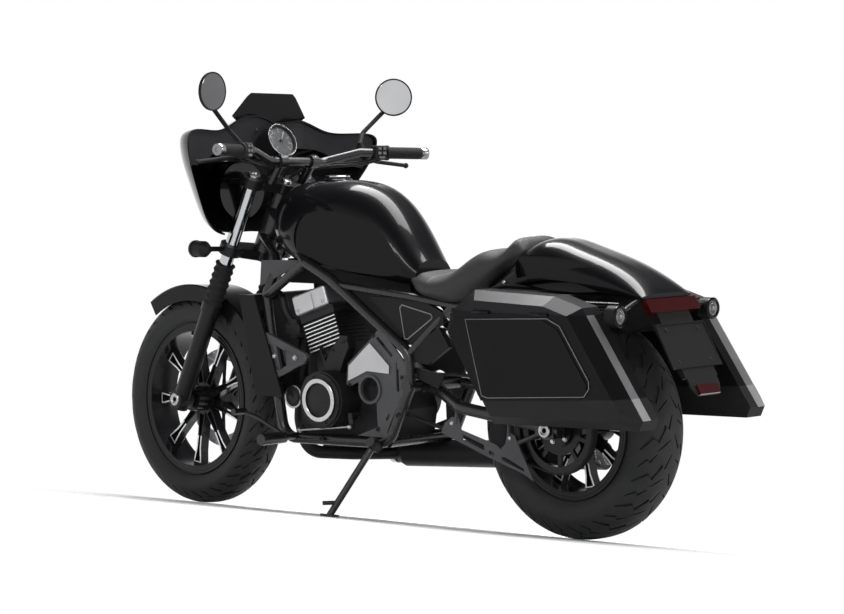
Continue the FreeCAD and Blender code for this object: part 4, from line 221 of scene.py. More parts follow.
class Finish(NodeTree):
    """A material and the nodes that make it."""

    def __init__(self, name):
        self.material = bpy.data.materials.new(name)
        self.material.use_nodes = True
        self.tree = self.material.node_tree
        self.shader = self.tree.nodes["Principled BSDF"]
        self.where = self.node("ShaderNodeTexCoord", out="Object")

    @classmethod
    def of_tree(cls, tree, shader):
        """The same helpers for a tree that isn't a material's, such as the world's."""
        finish = cls.__new__(cls)
        finish.tree = tree
        finish.shader = shader
        return finish

    def set(self, **sockets):
        for name, value in sockets.items():
            self.feed(self.shader.inputs[name.replace("_", " ")], value)
        return self

    def noise(self, scale, detail=3.0, rough=0.5):
        values = {"Vector": self.where, "Scale": scale, "Detail": detail, "Roughness": rough}
        return self.node("ShaderNodeTexNoise", None, values, "Fac")

    def pebbles(self, scale):
        return self.node("ShaderNodeTexVoronoi", None, {"Vector": self.where, "Scale": scale}, "Distance")

    def spread(self, signal, low, high):
        """Maps 0..1 to low..high."""
        return signal * (high - low) + low

    def mix(self, share, first, second):
        values = {0: share, 6: first, 7: second}
        return self.node("ShaderNodeMix", {"data_type": "RGBA"}, values, 2)

    def bump(self, height, strength, distance):
        values = {"Height": height, "Strength": strength, "Distance": distance}
        self.set(Normal=self.node("ShaderNodeBump", None, values))
        return self


# %% [markdown]
# A plain studio: a white floor that runs into a white backdrop, a dimmer ceiling and three broad
# lamps. The white is only what the camera, a mirror or a pane of glass sees. The light that falls on
# the machine comes from a soft sky and the lamps, at a level where a colour renders about as it is
# written, and the floor near the machine stays an ordinary matt one, so that it keeps the shadow.

# %% Studio
FLOOR_HALF = 20.0
FLOOR_LENGTHWISE = 1.0
FLOOR_SIDEWAYS = 0.65
FLOOR_GLOW = 0.06
FLOOR_WHITE = {"From Min": 0.70, "From Max": 1.36}
SKY_LIGHT = (0.288, 0.2988, 0.3168, 1.0)
WHITE = (1.0, 1.0, 1.0, 1.0)
CEILING = (0.07, 0.07, 0.075, 1.0)
CEILING_EDGE = {"From Min": 0.34, "From Max": 0.66}
LAMP_AIM = Vector((0.0, 0.0, 0.5))
# Each lamp has a place, a width, a height and a power.
LAMPS = {
    "lamp_over": ((0.1, -0.75, 3.4), 3.0, 1.3, 190.0),
    "lamp_left": ((-1.6, 4.6, 2.8), 3.4, 0.42, 74.0),
    "lamp_behind": ((-4.4, -1.8, 2.6), 2.2, 0.45, 46.0),
}


def seen(finish):
    """1 for what the camera, a mirror or glass sees, and 0 for the light that falls on things."""
    camera_ray, mirror_ray, glass_ray = (finish.node("ShaderNodeLightPath", out="Is " + kind + " Ray")
                                         for kind in ("Camera", "Glossy", "Transmission"))
    return finish.node("ShaderNodeClamp", None, {"Value": camera_ray + mirror_ray + glass_ray})


def part_of(finish, vector, axis):
    return finish.node("ShaderNodeSeparateXYZ", None, {"Vector": vector}, axis)


def eased(finish, value, band):
    """0 below a band, 1 above it and a smooth rise between."""
    return finish.node("ShaderNodeMapRange", {"interpolation_type": "SMOOTHSTEP"}, {"Value": value, **band})


def studio_white():
    finish = Finish("studio_white")
    finish.set(Base_Color=(0.86, 0.86, 0.86, 1), Roughness=0.9, Specular_IOR_Level=0.0)
    glow = finish.node("ShaderNodeEmission", None, {"Color": WHITE, "Strength": 1.0})
    lengthwise = part_of(finish, finish.where, 0) / FLOOR_LENGTHWISE
    sideways = part_of(finish, finish.where, 1) / FLOOR_SIDEWAYS
    away = (lengthwise * lengthwise + sideways * sideways) ** 0.5
    far = eased(finish, away, FLOOR_WHITE)
    share = seen(finish) * (far * (1.0 - FLOOR_GLOW) + FLOOR_GLOW)
    matt = Signal(finish, finish.shader.outputs[0])
    both = finish.node("ShaderNodeMixShader", None, {0: share, 1: matt, 2: glow})
    finish.feed(finish.tree.nodes["Material Output"].inputs["Surface"], both)
    return finish.material


def make_floor():
    half = FLOOR_HALF
    corners = [(-half, -half, 0), (half, -half, 0), (half, half, 0), (-half, half, 0)]
    mesh = bpy.data.meshes.new("studio_floor")
    mesh.from_pydata(corners, [], [(0, 1, 2, 3)])
    mesh.materials.append(studio_white())
    floor = bpy.data.objects.new("studio_floor", mesh)
    bpy.context.scene.collection.objects.link(floor)


def make_lamp(name, place, width, height, power):
    data = bpy.data.lights.new(name, "AREA")
    data.shape = "RECTANGLE"
    data.size = width
    data.size_y = height
    data.energy = power
    lamp = bpy.data.objects.new(name, data)
    lamp.location = place
    lamp.rotation_euler = (LAMP_AIM - Vector(place)).to_track_quat("-Z", "Y").to_euler()
    bpy.context.scene.collection.objects.link(lamp)


def make_sky():
    """White to the height of a backdrop and dim above it, where it is seen."""
    world = bpy.data.worlds.new("studio_sky")
    world.use_nodes = True
    sky = Finish.of_tree(world.node_tree, world.node_tree.nodes["Background"])
    height = part_of(sky, sky.node("ShaderNodeTexCoord", out="Generated"), 2)
    shown = sky.mix(eased(sky, height, CEILING_EDGE), WHITE, CEILING)
    sky.set(Color=sky.mix(seen(sky), SKY_LIGHT, shown), Strength=1.0)
    bpy.context.scene.world = world


make_floor()
for name, (place, width, height, power) in LAMPS.items():
    make_lamp(name, place, width, height, power)
make_sky()
bpy.context.scene.view_settings.view_transform = "Standard"
print("studio with", len(LAMPS), "lamps")

# %% [markdown]
# Most finishes differ only in a few numbers: two tones in soft clouds, a gloss that drifts, and a
# fine grain pressed into the surface. So one function makes them, and a second makes those that are
# too smooth to show a grain. Cast, moulded and painted pieces then are one line each.

# %% Two ways to a finish


def shade(colour, gain=1.0, lift=0.0):
    """A colour as the four numbers that a socket takes, brightened or lifted."""
    return tuple(min(1.0, c * gain + lift) for c in colour) + (1.0,)


def grained(name, dark, bright, clouds, grain, press, rough, gloss_by_grain=False, **sockets):
    """Noise settings make the clouds and the grain. A grain of one number is a cell pattern's scale."""
    finish = Finish(name)
    soft = finish.noise(*clouds)
    fine = finish.noise(*grain) if len(grain) > 1 else finish.pebbles(*grain)
    drift = finish.spread(fine if gloss_by_grain else soft, *rough)
    finish.set(Base_Color=finish.mix(soft, dark, bright), Roughness=drift, **sockets)
    return finish.bump(fine, *press).material


def polished(name, colour, haze, rough, **sockets):
    """One colour, with a gloss that drifts a little, as if it was wiped by hand."""
    finish = Finish(name)
    finish.set(Base_Color=colour, Roughness=finish.spread(finish.noise(*haze), *rough), **sockets)
    return finish.material


# %% [markdown]
# Gloss lacquer is a dark coat under clear varnish. The flake is finer than a pixel, so it shows as a
# soft sheen, and the smooth coat on top carries the sharp reflections. A trace of orange peel keeps
# them from looking like glass. The pannier lids carry more flake and no varnish, so they shine softly.

# %% Painted finishes
PEEL = (140.0, 2.0)
DUST = (9.0, 5.0, 0.6)
LACQUER_FLAKE = (2600.0, 1.0)
LID_FLAKE = (1500.0, 2.0)
LID_CLOUD = (8.0, 4.0)


def gloss_black():
    finish = Finish("gloss_black")
    flake = finish.noise(*LACQUER_FLAKE)
    finish.set(Base_Color=finish.mix(flake, (0.003, 0.003, 0.0035, 1), (0.007, 0.007, 0.008, 1)),
               Roughness=finish.spread(finish.noise(*DUST), 0.24, 0.36), Specular_IOR_Level=0.05,
               Coat_Weight=1.0, Coat_Roughness=0.07, Coat_IOR=1.2)
    return finish.bump(finish.noise(*PEEL), 0.05, 0.0004).material


def lid_paint():
    finish = Finish("lid_black")
    flake = finish.noise(*LID_FLAKE)
    colour = finish.mix(flake, (0.007, 0.007, 0.008, 1), (0.026, 0.026, 0.028, 1))
    rough = finish.spread(finish.noise(*LID_CLOUD), 0.30, 0.40)
    finish.set(Base_Color=colour, Metallic=0.45, Roughness=rough, Specular_IOR_Level=0.15)
    return finish.bump(flake, 0.05, 0.0003).material


def satin_paint(name, colour, low, high, shine=0.22):
    return grained(name, shade(colour), shade(colour, 1.5), (14.0, 5.0, 0.6), (900.0, 2.0), (0.12, 0.0003),
                   (low, high), Specular_IOR_Level=shine)


# %% [markdown]
# Moulded plastic has an even pebble texture pressed into it by the mould. A cell pattern gives the
# pebbles, and its edges sink, which is what separates it from paint when light grazes over it.

# %% Moulded plastics
MOULD_PEBBLE = 1300.0
MOULD_CLOUD = (11.0, 4.0)


def moulded(name, colour, low, high):
    return grained(name, shade(colour), shade(colour, 1.4), MOULD_CLOUD, (MOULD_PEBBLE,), (0.25, 0.0003),
                   (low, high), Specular_IOR_Level=0.12)


# %% [markdown]
# A pannier shell is one moulding in three finishes: satin black, a rougher skirt along its bottom whose
# colour is painted lighter as a painted reflection of the white floor, and a bare metal strip down the rear
# face. They could be three materials on sorted faces, but a mask that asks on which side of a plane a
# point lies gives a clean edge across any face.

# %% Pannier shells
SKIRT_LINE = (0.053, 0.0, 1.0)
SKIRT_AT = (114.0, 318.0, 409.0)
REAR_FACE = (-0.82, 0.0, 0.575)
STRIP_DEPTH = 1.4
STRIP_INNER_Y = 241.0


def beyond(finish, direction, point):
    """1 on the far side of a plane, which is given in upright millimetres."""
    facing = way(*direction)
    values = {0: finish.where, 1: tuple(facing)}
    reach = finish.node("ShaderNodeVectorMath", {"operation": "DOT_PRODUCT"}, values, 1)
    return reach > facing.dot(at(*point))


def pannier_shell():
    finish = Finish("pannier_black")
    cloud = finish.noise(*MOULD_CLOUD)
    edge = max(corners_of("pannier_shell_left", upright_mm),
               key=lambda p: p.x * REAR_FACE[0] + p.z * REAR_FACE[2])
    outer = (beyond(finish, (0, 1, 0), (0, STRIP_INNER_Y, 0))
             + beyond(finish, (0, -1, 0), (0, -STRIP_INNER_Y, 0)))
    strip = beyond(finish, REAR_FACE, (edge.x + STRIP_DEPTH, 0.0, edge.z)) * outer
    skirt = 1.0 - beyond(finish, SKIRT_LINE, SKIRT_AT)
    black = finish.mix(cloud, (0.0050, 0.0050, 0.0055, 1), (0.0085, 0.0085, 0.009, 1))
    # Along the skirt the colour is painted lighter, a painted reflection of the white floor; the skirt is also
    # rougher.
    other_tone = finish.mix(cloud, (0.015, 0.015, 0.0155, 1), (0.022, 0.022, 0.023, 1))
    metal = finish.mix(cloud, (0.30, 0.30, 0.305, 1), (0.46, 0.46, 0.465, 1))
    finish.set(Base_Color=finish.mix(strip, finish.mix(skirt, black, other_tone), metal), Metallic=strip * 0.85,
               Roughness=finish.spread(cloud, 0.26, 0.36) + skirt * 0.16, Specular_IOR_Level=0.09)
    return finish.bump(finish.pebbles(MOULD_PEBBLE), 0.2, 0.0003).material


# %% [markdown]
# Bare metals differ by how they were finished: cast and sanded aluminium is grey and soft, a chromed
# tube is a mirror, and turned, brushed or skimmed metal takes its gloss from its own fine lines.

# %% Metals


def cast_silver():
    return grained("cast_silver", (0.40, 0.40, 0.41, 1), (0.56, 0.56, 0.57, 1), (16.0, 4.0),
                   (420.0, 4.0, 0.6), (0.18, 0.0003), (0.30, 0.44), Metallic=0.9)


def turned_steel():
    return grained("turned_steel", (0.33, 0.33, 0.34, 1), (0.50, 0.50, 0.51, 1), (20.0, 4.0), (700.0, 3.0),
                   (0.1, 0.0002), (0.22, 0.38), True, Metallic=1.0)


def brushed(name, colour):
    return grained(name, shade(colour, 0.72), shade(colour), (26.0, 4.0), (520.0, 3.0), (0.08, 0.0002),
                   (0.20, 0.34), True, Metallic=1.0)


def machined():
    return grained("machined", (0.78, 0.78, 0.79, 1), (0.92, 0.92, 0.93, 1), (30.0, 3.0), (1400.0, 1.0),
                   (0.06, 0.0001), (0.30, 0.45), True, Metallic=0.55)


def chrome(name):
    return polished(name, (0.52, 0.53, 0.55, 1), (22.0, 4.0), (0.07, 0.16), Metallic=1.0)


def mirror_glass(name, level):
    finish = Finish(name)
    haze = finish.noise(7.0, 2.0)
    other_tone = (level * 0.72, level * 0.73, level * 0.75, 1)
    finish.set(Base_Color=finish.mix(haze, other_tone, (level, level, level * 1.02, 1)), Metallic=1.0,
               Roughness=finish.spread(haze, 0.04, 0.09))
    return finish.material


# %% [markdown]
# Rubber, lens plastic and tinted screen. Rubber is matt and slightly dusty. A coloured lens is drawn
# as a glossy solid, because little shows behind it, and a clear one lets its bowl show through.

# %% Rubber and lenses


def rubber(name, colour, rough=0.62):
    return grained(name, shade(colour), shade(colour, 1.8, 0.003), (30.0, 6.0, 0.65), (600.0, 2.0),
                   (0.15, 0.0003), (rough, rough + 0.18), Specular_IOR_Level=0.18)


def coloured_lens(name, colour):
    finish = Finish(name)
    rib = finish.noise(60.0, 1.0)
    finish.set(Base_Color=finish.mix(rib, shade(colour, 0.6), shade(colour)), Roughness=0.12,
               Specular_IOR_Level=0.15, Coat_Weight=1.0, Coat_Roughness=0.02, Coat_IOR=1.3)
    return finish.bump(rib, 0.1, 0.0004).material


def clear_plastic(name, level, clear):
    """Thin clear plastic: mostly see-through, with a glossy face."""
    return polished(name, (level, level, level, 1), (90.0, 1.0), (0.04, 0.09), Alpha=1.0 - clear,
                    Coat_Weight=1.0, Coat_Roughness=0.02)


def tinted_screen():
    return polished("tinted_screen", (0.004, 0.004, 0.0045, 1), (12.0, 3.0), (0.10, 0.18),
                    Specular_IOR_Level=0.06, Coat_Weight=1.0, Coat_Roughness=0.04, Coat_IOR=1.18)


def seat_cover():
    return grained("seat_cover", (0.024, 0.023, 0.024, 1), (0.040, 0.038, 0.039, 1), (13.0, 5.0, 0.6),
                   (420.0,), (0.3, 0.0005), (0.46, 0.62), Specular_IOR_Level=0.3)


# %% [markdown]
# The record names a slot for every node, and each slot gets its finish here, once. The record's slots
# are few, so a finish that only this file knows is listed under the nearest of them. The lids are the
# one exception: their nodes take a paint of their own.

# %% Finish for each material slot
finishes = {
    "gloss_black": gloss_black(),
    "lid_black": lid_paint(),
    "frame_black": satin_paint("frame_black", (0.009, 0.009, 0.0095), 0.22, 0.32, 0.5),
    "fork_black": satin_paint("fork_black", (0.008, 0.008, 0.0085), 0.24, 0.36),
    "plate_grey": satin_paint("plate_grey", (0.055, 0.055, 0.058), 0.34, 0.46),
    "engine_black": satin_paint("engine_black", (0.011, 0.011, 0.0115), 0.40, 0.56),
    "exhaust_black": satin_paint("exhaust_black", (0.009, 0.009, 0.009), 0.44, 0.60),
    "wheel_black": satin_paint("wheel_black", (0.007, 0.007, 0.008), 0.16, 0.26),
    "satin_black": moulded("satin_black", (0.010, 0.010, 0.0105), 0.36, 0.50),
    "pannier_black": pannier_shell(),
    "panel_grey": moulded("panel_grey", (0.024, 0.024, 0.026), 0.42, 0.54),
    "cover_silver": cast_silver(),
    "stanchion_chrome": chrome("hard_chrome"),
    "disc_steel": turned_steel(),
    "rubber": rubber("rubber", (0.011, 0.011, 0.011)),
    "tyre": rubber("tyre", (0.019, 0.019, 0.019), 0.50),
    "lamp_red": coloured_lens("lamp_red", (0.052, 0.002, 0.003)),
    "lamp_glass": coloured_lens("lamp_glass", (0.004, 0.004, 0.0045)),
    "dark_screen": tinted_screen(),
    "seat_leather": seat_cover(),
    "machined": machined(),
    "ring_silver": brushed("ring_silver", (0.62, 0.62, 0.63)),
    "chrome": chrome("chrome"),
    "bolt_silver": brushed("bolt_silver", (0.52, 0.52, 0.53)),
    "bolt_black": satin_paint("bolt_black", (0.014, 0.014, 0.015), 0.26, 0.40),
    "bar_end": brushed("bar_end", (0.30, 0.30, 0.31)),
    # edge_grey is light grey: the side cover rim's own colour, and on the pannier panel line a painted highlight
    # along the panel's edge.
    "edge_grey": satin_paint("edge_grey", (0.16, 0.16, 0.165), 0.30, 0.40),
    "switch_grey": moulded("switch_grey", (0.14, 0.14, 0.145), 0.36, 0.48),
    "cable_black": rubber("cable_black", (0.008, 0.008, 0.008), 0.34),
    "dial_grey": satin_paint("dial_grey", (0.055, 0.057, 0.060), 0.40, 0.50),
    "dial_white": satin_paint("dial_white", (0.42, 0.43, 0.45), 0.40, 0.50),
    "clear_glass": clear_plastic("clear_glass", 0.03, 0.94),
    "clear_lens": clear_plastic("clear_lens", 0.10, 0.62),
    "mirror": mirror_glass("mirror", 0.62),
    # The left mirror's glass is painted darker, a painted reflection of the dark side of the room.
    "mirror_shade": mirror_glass("mirror_shade", 0.17),
}
slots = {part["node"]: part["material_slot"] for part in frame["record"]["subparts"]}
for name, node in nodes.items():
    node.data.materials.clear()
    node.data.materials.append(finishes["lid_black" if name.startswith("pannier_lid") else slots[name]])
print("finishes given to", len(nodes), "nodes")

# %% [markdown]
# A new piece is drawn in the millimetres of the part it sits on. Its place is then written into its
# mesh, so the object itself stays at the origin as the frame's own parts do, and it is told which
# body carries it.

# %% Placing a piece
STAND_UP = Matrix.Rotation(math.pi / 2, 4, "X")


def mesh_of(points, faces):
    mesh = bpy.data.meshes.new("raw")
    mesh.from_pydata([tuple(p) for p in points], [], faces)
    mesh.validate()
    return mesh


def tidy_mesh(mesh, merge=0.005, degrees=35.0):
    """Merges doubles, turns the faces outwards and shades all but the sharp edges smooth."""
    work = bmesh.new()
    work.from_mesh(mesh)
    bmesh.ops.remove_doubles(work, verts=work.verts, dist=merge)
    bmesh.ops.recalc_face_normals(work, faces=work.faces)
    work.to_mesh(mesh)
    work.free()
    mesh.shade_smooth()
    mesh.set_sharp_from_angle(angle=math.radians(degrees))
    return mesh


def settle(name, mesh, place, body, slot, covers=()):
    mesh.transform(place)
    piece = bpy.data.objects.new(name, mesh)
    bpy.context.scene.collection.objects.link(piece)
    mesh.materials.clear()
    mesh.materials.append(finishes[slot])
    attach(piece, body)
    if covers:
        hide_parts(*covers)
    return piece


def join_meshes(meshes):
    work = bmesh.new()
    for mesh in meshes:
        work.from_mesh(mesh)
    whole = bpy.data.meshes.new("joined")
    work.to_mesh(whole)
    work.free()
    return whole


def shifted(axes, x, y, z):
    return axes @ Matrix.Translation((x, y, z))


def aimed(centre, direction):
    """Turns the Y axis to a direction and moves the origin to a centre."""
    turn = Vector(direction).to_track_quat("Y", "Z").to_matrix().to_4x4()
    return Matrix.Translation(centre) @ turn


# %% [markdown]
# Most small pieces are a turned profile, a wire, a plate or a flat rim, much as they would be turned,
# drawn, cut or stamped in metal. So each of these shapes has one function.

# %% Shapes that most pieces share
def turned(profile, steps, closed=False):
    """A profile of (y, radius) turned about the Y axis, as a bare surface."""
    count = len(profile)
    points, faces = [], []
    for step in range(steps):
        angle = math.tau * step / steps
        points += [(r * math.sin(angle), y, r * math.cos(angle)) for y, r in profile]
        here, there = step * count, (step + 1) % steps * count
        for k in range(count if closed else count - 1):
            after = (k + 1) % count
            faces.append((here + k, here + after, there + after, there + k))
    return mesh_of(points, faces)


def lathe(profile, steps=32):
    """A solid turned about the Y axis from a closed profile of (y, radius)."""
    return tidy_mesh(turned(profile, steps, closed=True))


def along_path(points, radius, sides=10, samples=6):
    """A smooth round wire through some points."""
    curve = bpy.data.curves.new("wire", "CURVE")
    curve.dimensions = "3D"
    curve.bevel_depth = radius
    curve.bevel_resolution = sides // 4
    curve.resolution_u = samples
    curve.use_fill_caps = True
    spline = curve.splines.new("NURBS")
    spline.points.add(len(points) - 1)
    for knot, place in zip(spline.points, points):
        knot.co = (*place, 1.0)
    spline.order_u = 3
    spline.use_endpoint_u = True
    holder = bpy.data.objects.new("wire", curve)
    mesh = bpy.data.meshes.new_from_object(holder)
    bpy.data.objects.remove(holder)
    return tidy_mesh(mesh, degrees=60.0)


def rectangle(left, low, right, high):
    return [(left, low), (right, low), (right, high), (left, high)]


def flat_plate(outline, low, high, bevel=0.0):
    """A plate whose outline is in X and Z, from one Y to another, with eased edges."""
    work = bmesh.new()
    ring = [work.verts.new((x, low, z)) for x, z in outline]
    base = work.faces.new(ring)
    grown = bmesh.ops.extrude_face_region(work, geom=[base])
    lifted = [v for v in grown["geom"] if isinstance(v, bmesh.types.BMVert)]
    bmesh.ops.translate(work, verts=lifted, vec=(0, high - low, 0))
    if bevel:
        bmesh.ops.bevel(work, geom=list(work.edges), offset=bevel, segments=2, affect="EDGES")
    mesh = bpy.data.meshes.new("plate")
    work.to_mesh(mesh)
    work.free()
    return tidy_mesh(mesh)


def both_faces(outline, near, far, bevel):
    """The same plate on the left and on the right."""
    return [flat_plate(outline, near, far, bevel), flat_plate(outline, -far, -near, bevel)]


def flat_rim(outer, inner, low, high):
    """A rim between two outlines in X and Z that have as many points each, from one Y to another."""
    count = len(outer)
    points = [(x, y, z) for y in (low, high) for x, z in outer]
    points += [(x, y, z) for y in (high, low) for x, z in inner]
    faces = []
    for level in range(4):
        a, b = level * count, (level + 1) % 4 * count
        faces += [(a + k, a + (k + 1) % count, b + (k + 1) % count, b + k) for k in range(count)]
    return tidy_mesh(mesh_of(points, faces))


# %% [markdown]
# Geometry Nodes does the repeating: a wheel's spokes, a disc's holes and a cover's bolts are each one
# small mesh set down many times. A tree is a recipe with named inputs, so this class builds one the
# way the finishes are built. Two recipes serve the whole machine: copies round an axle, and heads
# standing on points.

# %% Recipes for what repeats
SEAM_MERGE = 0.02


class Recipe(NodeTree):
    """A Geometry Nodes tree."""

    def __init__(self, name, inputs):
        self.tree = bpy.data.node_groups.new(name, "GeometryNodeTree")
        self.tree.is_modifier = True
        sockets = self.tree.interface
        sockets.new_socket("Geometry", in_out="OUTPUT", socket_type="NodeSocketGeometry")
        sockets.new_socket("Geometry", in_out="INPUT", socket_type="NodeSocketGeometry")
        self.keys = {}
        for label, kind in inputs:
            made = sockets.new_socket(label, in_out="INPUT", socket_type="NodeSocket" + kind)
            self.keys[label] = made.identifier
        self.start = self.tree.nodes.new("NodeGroupInput")
        self.end = self.tree.nodes.new("NodeGroupOutput")

    def given(self, label):
        return Signal(self, self.start.outputs[label])

    def close(self, geometry):
        """Gives the geometry its finish and hands it out."""
        values = {"Geometry": geometry, "Material": self.given("Finish")}
        self.feed(self.end.inputs[0], self.node("GeometryNodeSetMaterial", None, values))
        return self

    def cook(self, mesh, values):
        """Runs the recipe on a mesh and returns a plain mesh."""
        maker = bpy.data.objects.new("maker", mesh)
        bpy.context.scene.collection.objects.link(maker)
        modifier = maker.modifiers.new("recipe", "NODES")
        modifier.node_group = self.tree
        for label, value in values.items():
            modifier[self.keys[label]] = value
        graph = bpy.context.evaluated_depsgraph_get()
        made = bpy.data.meshes.new_from_object(maker.evaluated_get(graph))
        bpy.data.objects.remove(maker)
        return made


def round_recipe():
    recipe = Recipe("copies_round", [("Count", "Int"), ("Start", "Float"), ("Finish", "Material")])
    line = recipe.node("GeometryNodeMeshLine", {"mode": "OFFSET"},
                       {"Count": recipe.given("Count"), "Offset": (0.0, 0.0, 0.0)})
    index = recipe.node("GeometryNodeInputIndex")
    step = index * math.tau / recipe.given("Count") + recipe.given("Start")
    turn = recipe.node("ShaderNodeCombineXYZ", None, {"Y": step})
    copies = recipe.node("GeometryNodeInstanceOnPoints", None,
                         {"Points": line, "Instance": recipe.given("Geometry"), "Rotation": turn})
    solid = recipe.node("GeometryNodeRealizeInstances", None, {"Geometry": copies})
    values = {"Geometry": solid, "Distance": SEAM_MERGE}
    return recipe.close(recipe.node("GeometryNodeMergeByDistance", None, values))


def heads_recipe():
    recipe = Recipe("heads_on_points", [("Head", "Object"), ("Finish", "Material")])
    facing = recipe.node("GeometryNodeInputNamedAttribute", {"data_type": "FLOAT_VECTOR"}, {"Name": "facing"})
    size = recipe.node("GeometryNodeInputNamedAttribute", {"data_type": "FLOAT"}, {"Name": "size"})
    turn = recipe.node("FunctionNodeAlignRotationToVector", {"axis": "Y"}, {"Vector": facing})
    head = recipe.node("GeometryNodeObjectInfo", None, {"Object": recipe.given("Head")}, "Geometry")
    inputs = {"Points": recipe.given("Geometry"), "Instance": head, "Rotation": turn, "Scale": size}
    copies = recipe.node("GeometryNodeInstanceOnPoints", None, inputs)
    return recipe.close(recipe.node("GeometryNodeRealizeInstances", None, {"Geometry": copies}))


copies_round = round_recipe()
heads_on_points = heads_recipe()
print("recipes:", copies_round.tree.name, heads_on_points.tree.name)


def around(tile, count, start_degrees, slot):
    values = {"Count": count, "Start": math.radians(start_degrees), "Finish": finishes[slot]}
    return copies_round.cook(tile, values)


# %% [markdown]
# A tyre's tread is one pattern block repeated. Each block here is a flat strip, wide as half the tread,
# with lightning-shaped grooves cut into it. The strip is triangulated so that its edges always carry
# the same points, then wrapped over the tyre's own curved section, so that neighbouring copies meet
# without a seam. The groove has a floor and walls, so it stays a groove from any side.

# %% Tyre section
# The half section goes from the crown to the bead, as shares of half the width and of the height.
TYRE_HALF_SHARES = [(0.0, 1.0), (0.34, 0.985), (0.62, 0.90), (0.84, 0.75), (0.965, 0.56), (0.985, 0.42),
                    (0.90, 0.20), (0.76, 0.06), (0.66, 0.0)]
SECTION_STEPS = 8
TREAD_STEPS = 4 * SECTION_STEPS


def smooth_half(width, rim, radius):
    """The tyre's half section as a dense line of (y, r), smooth through the knots."""
    knots = [Vector((width / 2 * a, rim + (radius - rim) * b)) for a, b in TYRE_HALF_SHARES]
    line = []
    for k in range(len(knots) - 1):
        before = knots[k - 1] if k else Vector((-knots[1].x, knots[1].y))
        after = knots[k + 2] if k + 2 < len(knots) else knots[k + 1] * 2 - knots[k]
        for step in range(SECTION_STEPS):
            t = step / SECTION_STEPS
            a = knots[k] * 2
            b = (knots[k + 1] - before) * t
            c = (before * 2 - knots[k] * 5 + knots[k + 1] * 4 - after) * t * t
            d = (knots[k] * 3 - before - knots[k + 1] * 3 + after) * t * t * t
            line.append((a + b + c + d) / 2)
    line.append(knots[-1])
    return line


def walk(line, distance):
    """The point and outward normal that far along the section from its crown."""
    for here, there in zip(line, line[1:]):
        length = (there - here).length
        if distance <= length + 1e-9:
            step = (there - here) / length
            return here + step * distance, Vector((-step.y, step.x))
        distance -= length
    return line[-1], Vector((1.0, 0.0))


# %% [markdown]
# A tyre's grooves are moulded by blades in the tyre's mould, so each keeps its width and ends in a
# point. A groove is drawn here as a bent line with a width at each of its corners.

# %% Tread grooves
# A groove's line has shares of the block's pitch and reach, and its half width in millimetres.
LONG_GROOVE = [(0.03, 0.97, 1.6), (0.42, 0.66, 5.0), (0.28, 0.52, 4.6), (0.68, 0.30, 5.0), (0.58, 0.20, 4.0),
               (0.94, 0.03, 1.6)]
SHORT_GROOVE = [(0.52, 0.95, 1.2), (0.80, 0.76, 3.8), (0.73, 0.68, 3.4), (0.95, 0.52, 1.2)]
THIN_GROOVE = [(0.05, 0.50, 1.0), (0.20, 0.32, 2.6), (0.32, 0.12, 1.0)]


def groove_outline(centre_line, pitch, reach):
    spine = [Vector((u * pitch, v * reach)) for u, v, half in centre_line]
    left, right = [], []
    for k, point in enumerate(spine):
        ahead = spine[min(k + 1, len(spine) - 1)]
        behind = spine[max(k - 1, 0)]
        side = Vector((-(ahead - behind).y, (ahead - behind).x)).normalized() * centre_line[k][2]
        left.append(point + side)
        right.append(point - side)
    return left + right[::-1]


def inside(point, ring):
    """Whether a flat point lies inside a closed outline."""
    hits = 0
    for a, b in zip(ring, ring[1:] + ring[:1]):
        if (a.y > point.y) != (b.y > point.y):
            hits += point.x < a.x + (b.x - a.x) * (point.y - a.y) / (b.y - a.y)
    return hits % 2 == 1


def middle_of(face, verts):
    return sum((verts[k] for k in face), Vector((0.0, 0.0))) / len(face)


def triangulated(rings, others, closed=False):
    """Flat triangles over some rings and other points, which can form a closed border."""
    points, groups = [], []
    for ring in rings:
        groups.append(list(range(len(points), len(points) + len(ring))))
        points += ring
    first, count = len(points), len(others)
    border = [(first + k, first + (k + 1) % count) for k in range(count)] if closed else []
    verts, _, faces, _, _, _ = delaunay_2d_cdt(points + others, border, groups, 0, 1e-5)
    return verts, faces


# %% [markdown]
# One block of each half is made, sunk where it lies in a groove and walled round the groove's edge.
# The round recipe repeats it, and the sidewalls and the bead are turned from the same section.

# %% Tyres with a cut tread
BLOCK_COLUMNS = 8
BLOCK_ROWS = 8
GROOVE_DEPTH = 5.5
TYRE_MERGE = 0.3
WHEEL_AXES = {"front": front_wheel_mm, "rear": rear_wheel_mm}
RIM_RADIUS = {"front": 228.6, "rear": 203.2}


def tread_block(line, reach, radius, count, flip):
    """One pattern block of one half of the tread, wrapped on the tyre."""
    pitch = math.tau * radius / count
    rings = [groove_outline(spine, pitch, reach) for spine in (LONG_GROOVE, SHORT_GROOVE, THIN_GROOVE)]
    grid = [Vector((pitch * i / BLOCK_COLUMNS, reach * j / BLOCK_ROWS))
            for i in range(BLOCK_COLUMNS + 1) for j in range(BLOCK_ROWS + 1)]
    verts, faces = triangulated(rings, grid)

    def wrapped(flat, depth):
        place, outward = walk(line, flat.y)
        across = place.x - outward.x * depth
        r = place.y - outward.y * depth
        angle = flat.x / radius + (math.pi / count if flip else 0.0)
        return (r * math.sin(angle), -across if flip else across, r * math.cos(angle))

    spots = [wrapped(v, 0.0) for v in verts] + [wrapped(v, GROOVE_DEPTH) for v in verts]
    floor = len(verts)
    made = []
    levels_at = {}
    for face in faces:
        deep = any(inside(middle_of(face, verts), ring) for ring in rings)
        made.append(tuple(v + floor for v in face) if deep else tuple(face))
        for a, b in zip(face, face[1:] + face[:1]):
            levels_at.setdefault((min(a, b), max(a, b)), set()).add(deep)
    for (a, b), levels in levels_at.items():
        if len(levels) == 2:
            made.append((a, b, b + floor, a + floor))
    return mesh_of(spots, made)


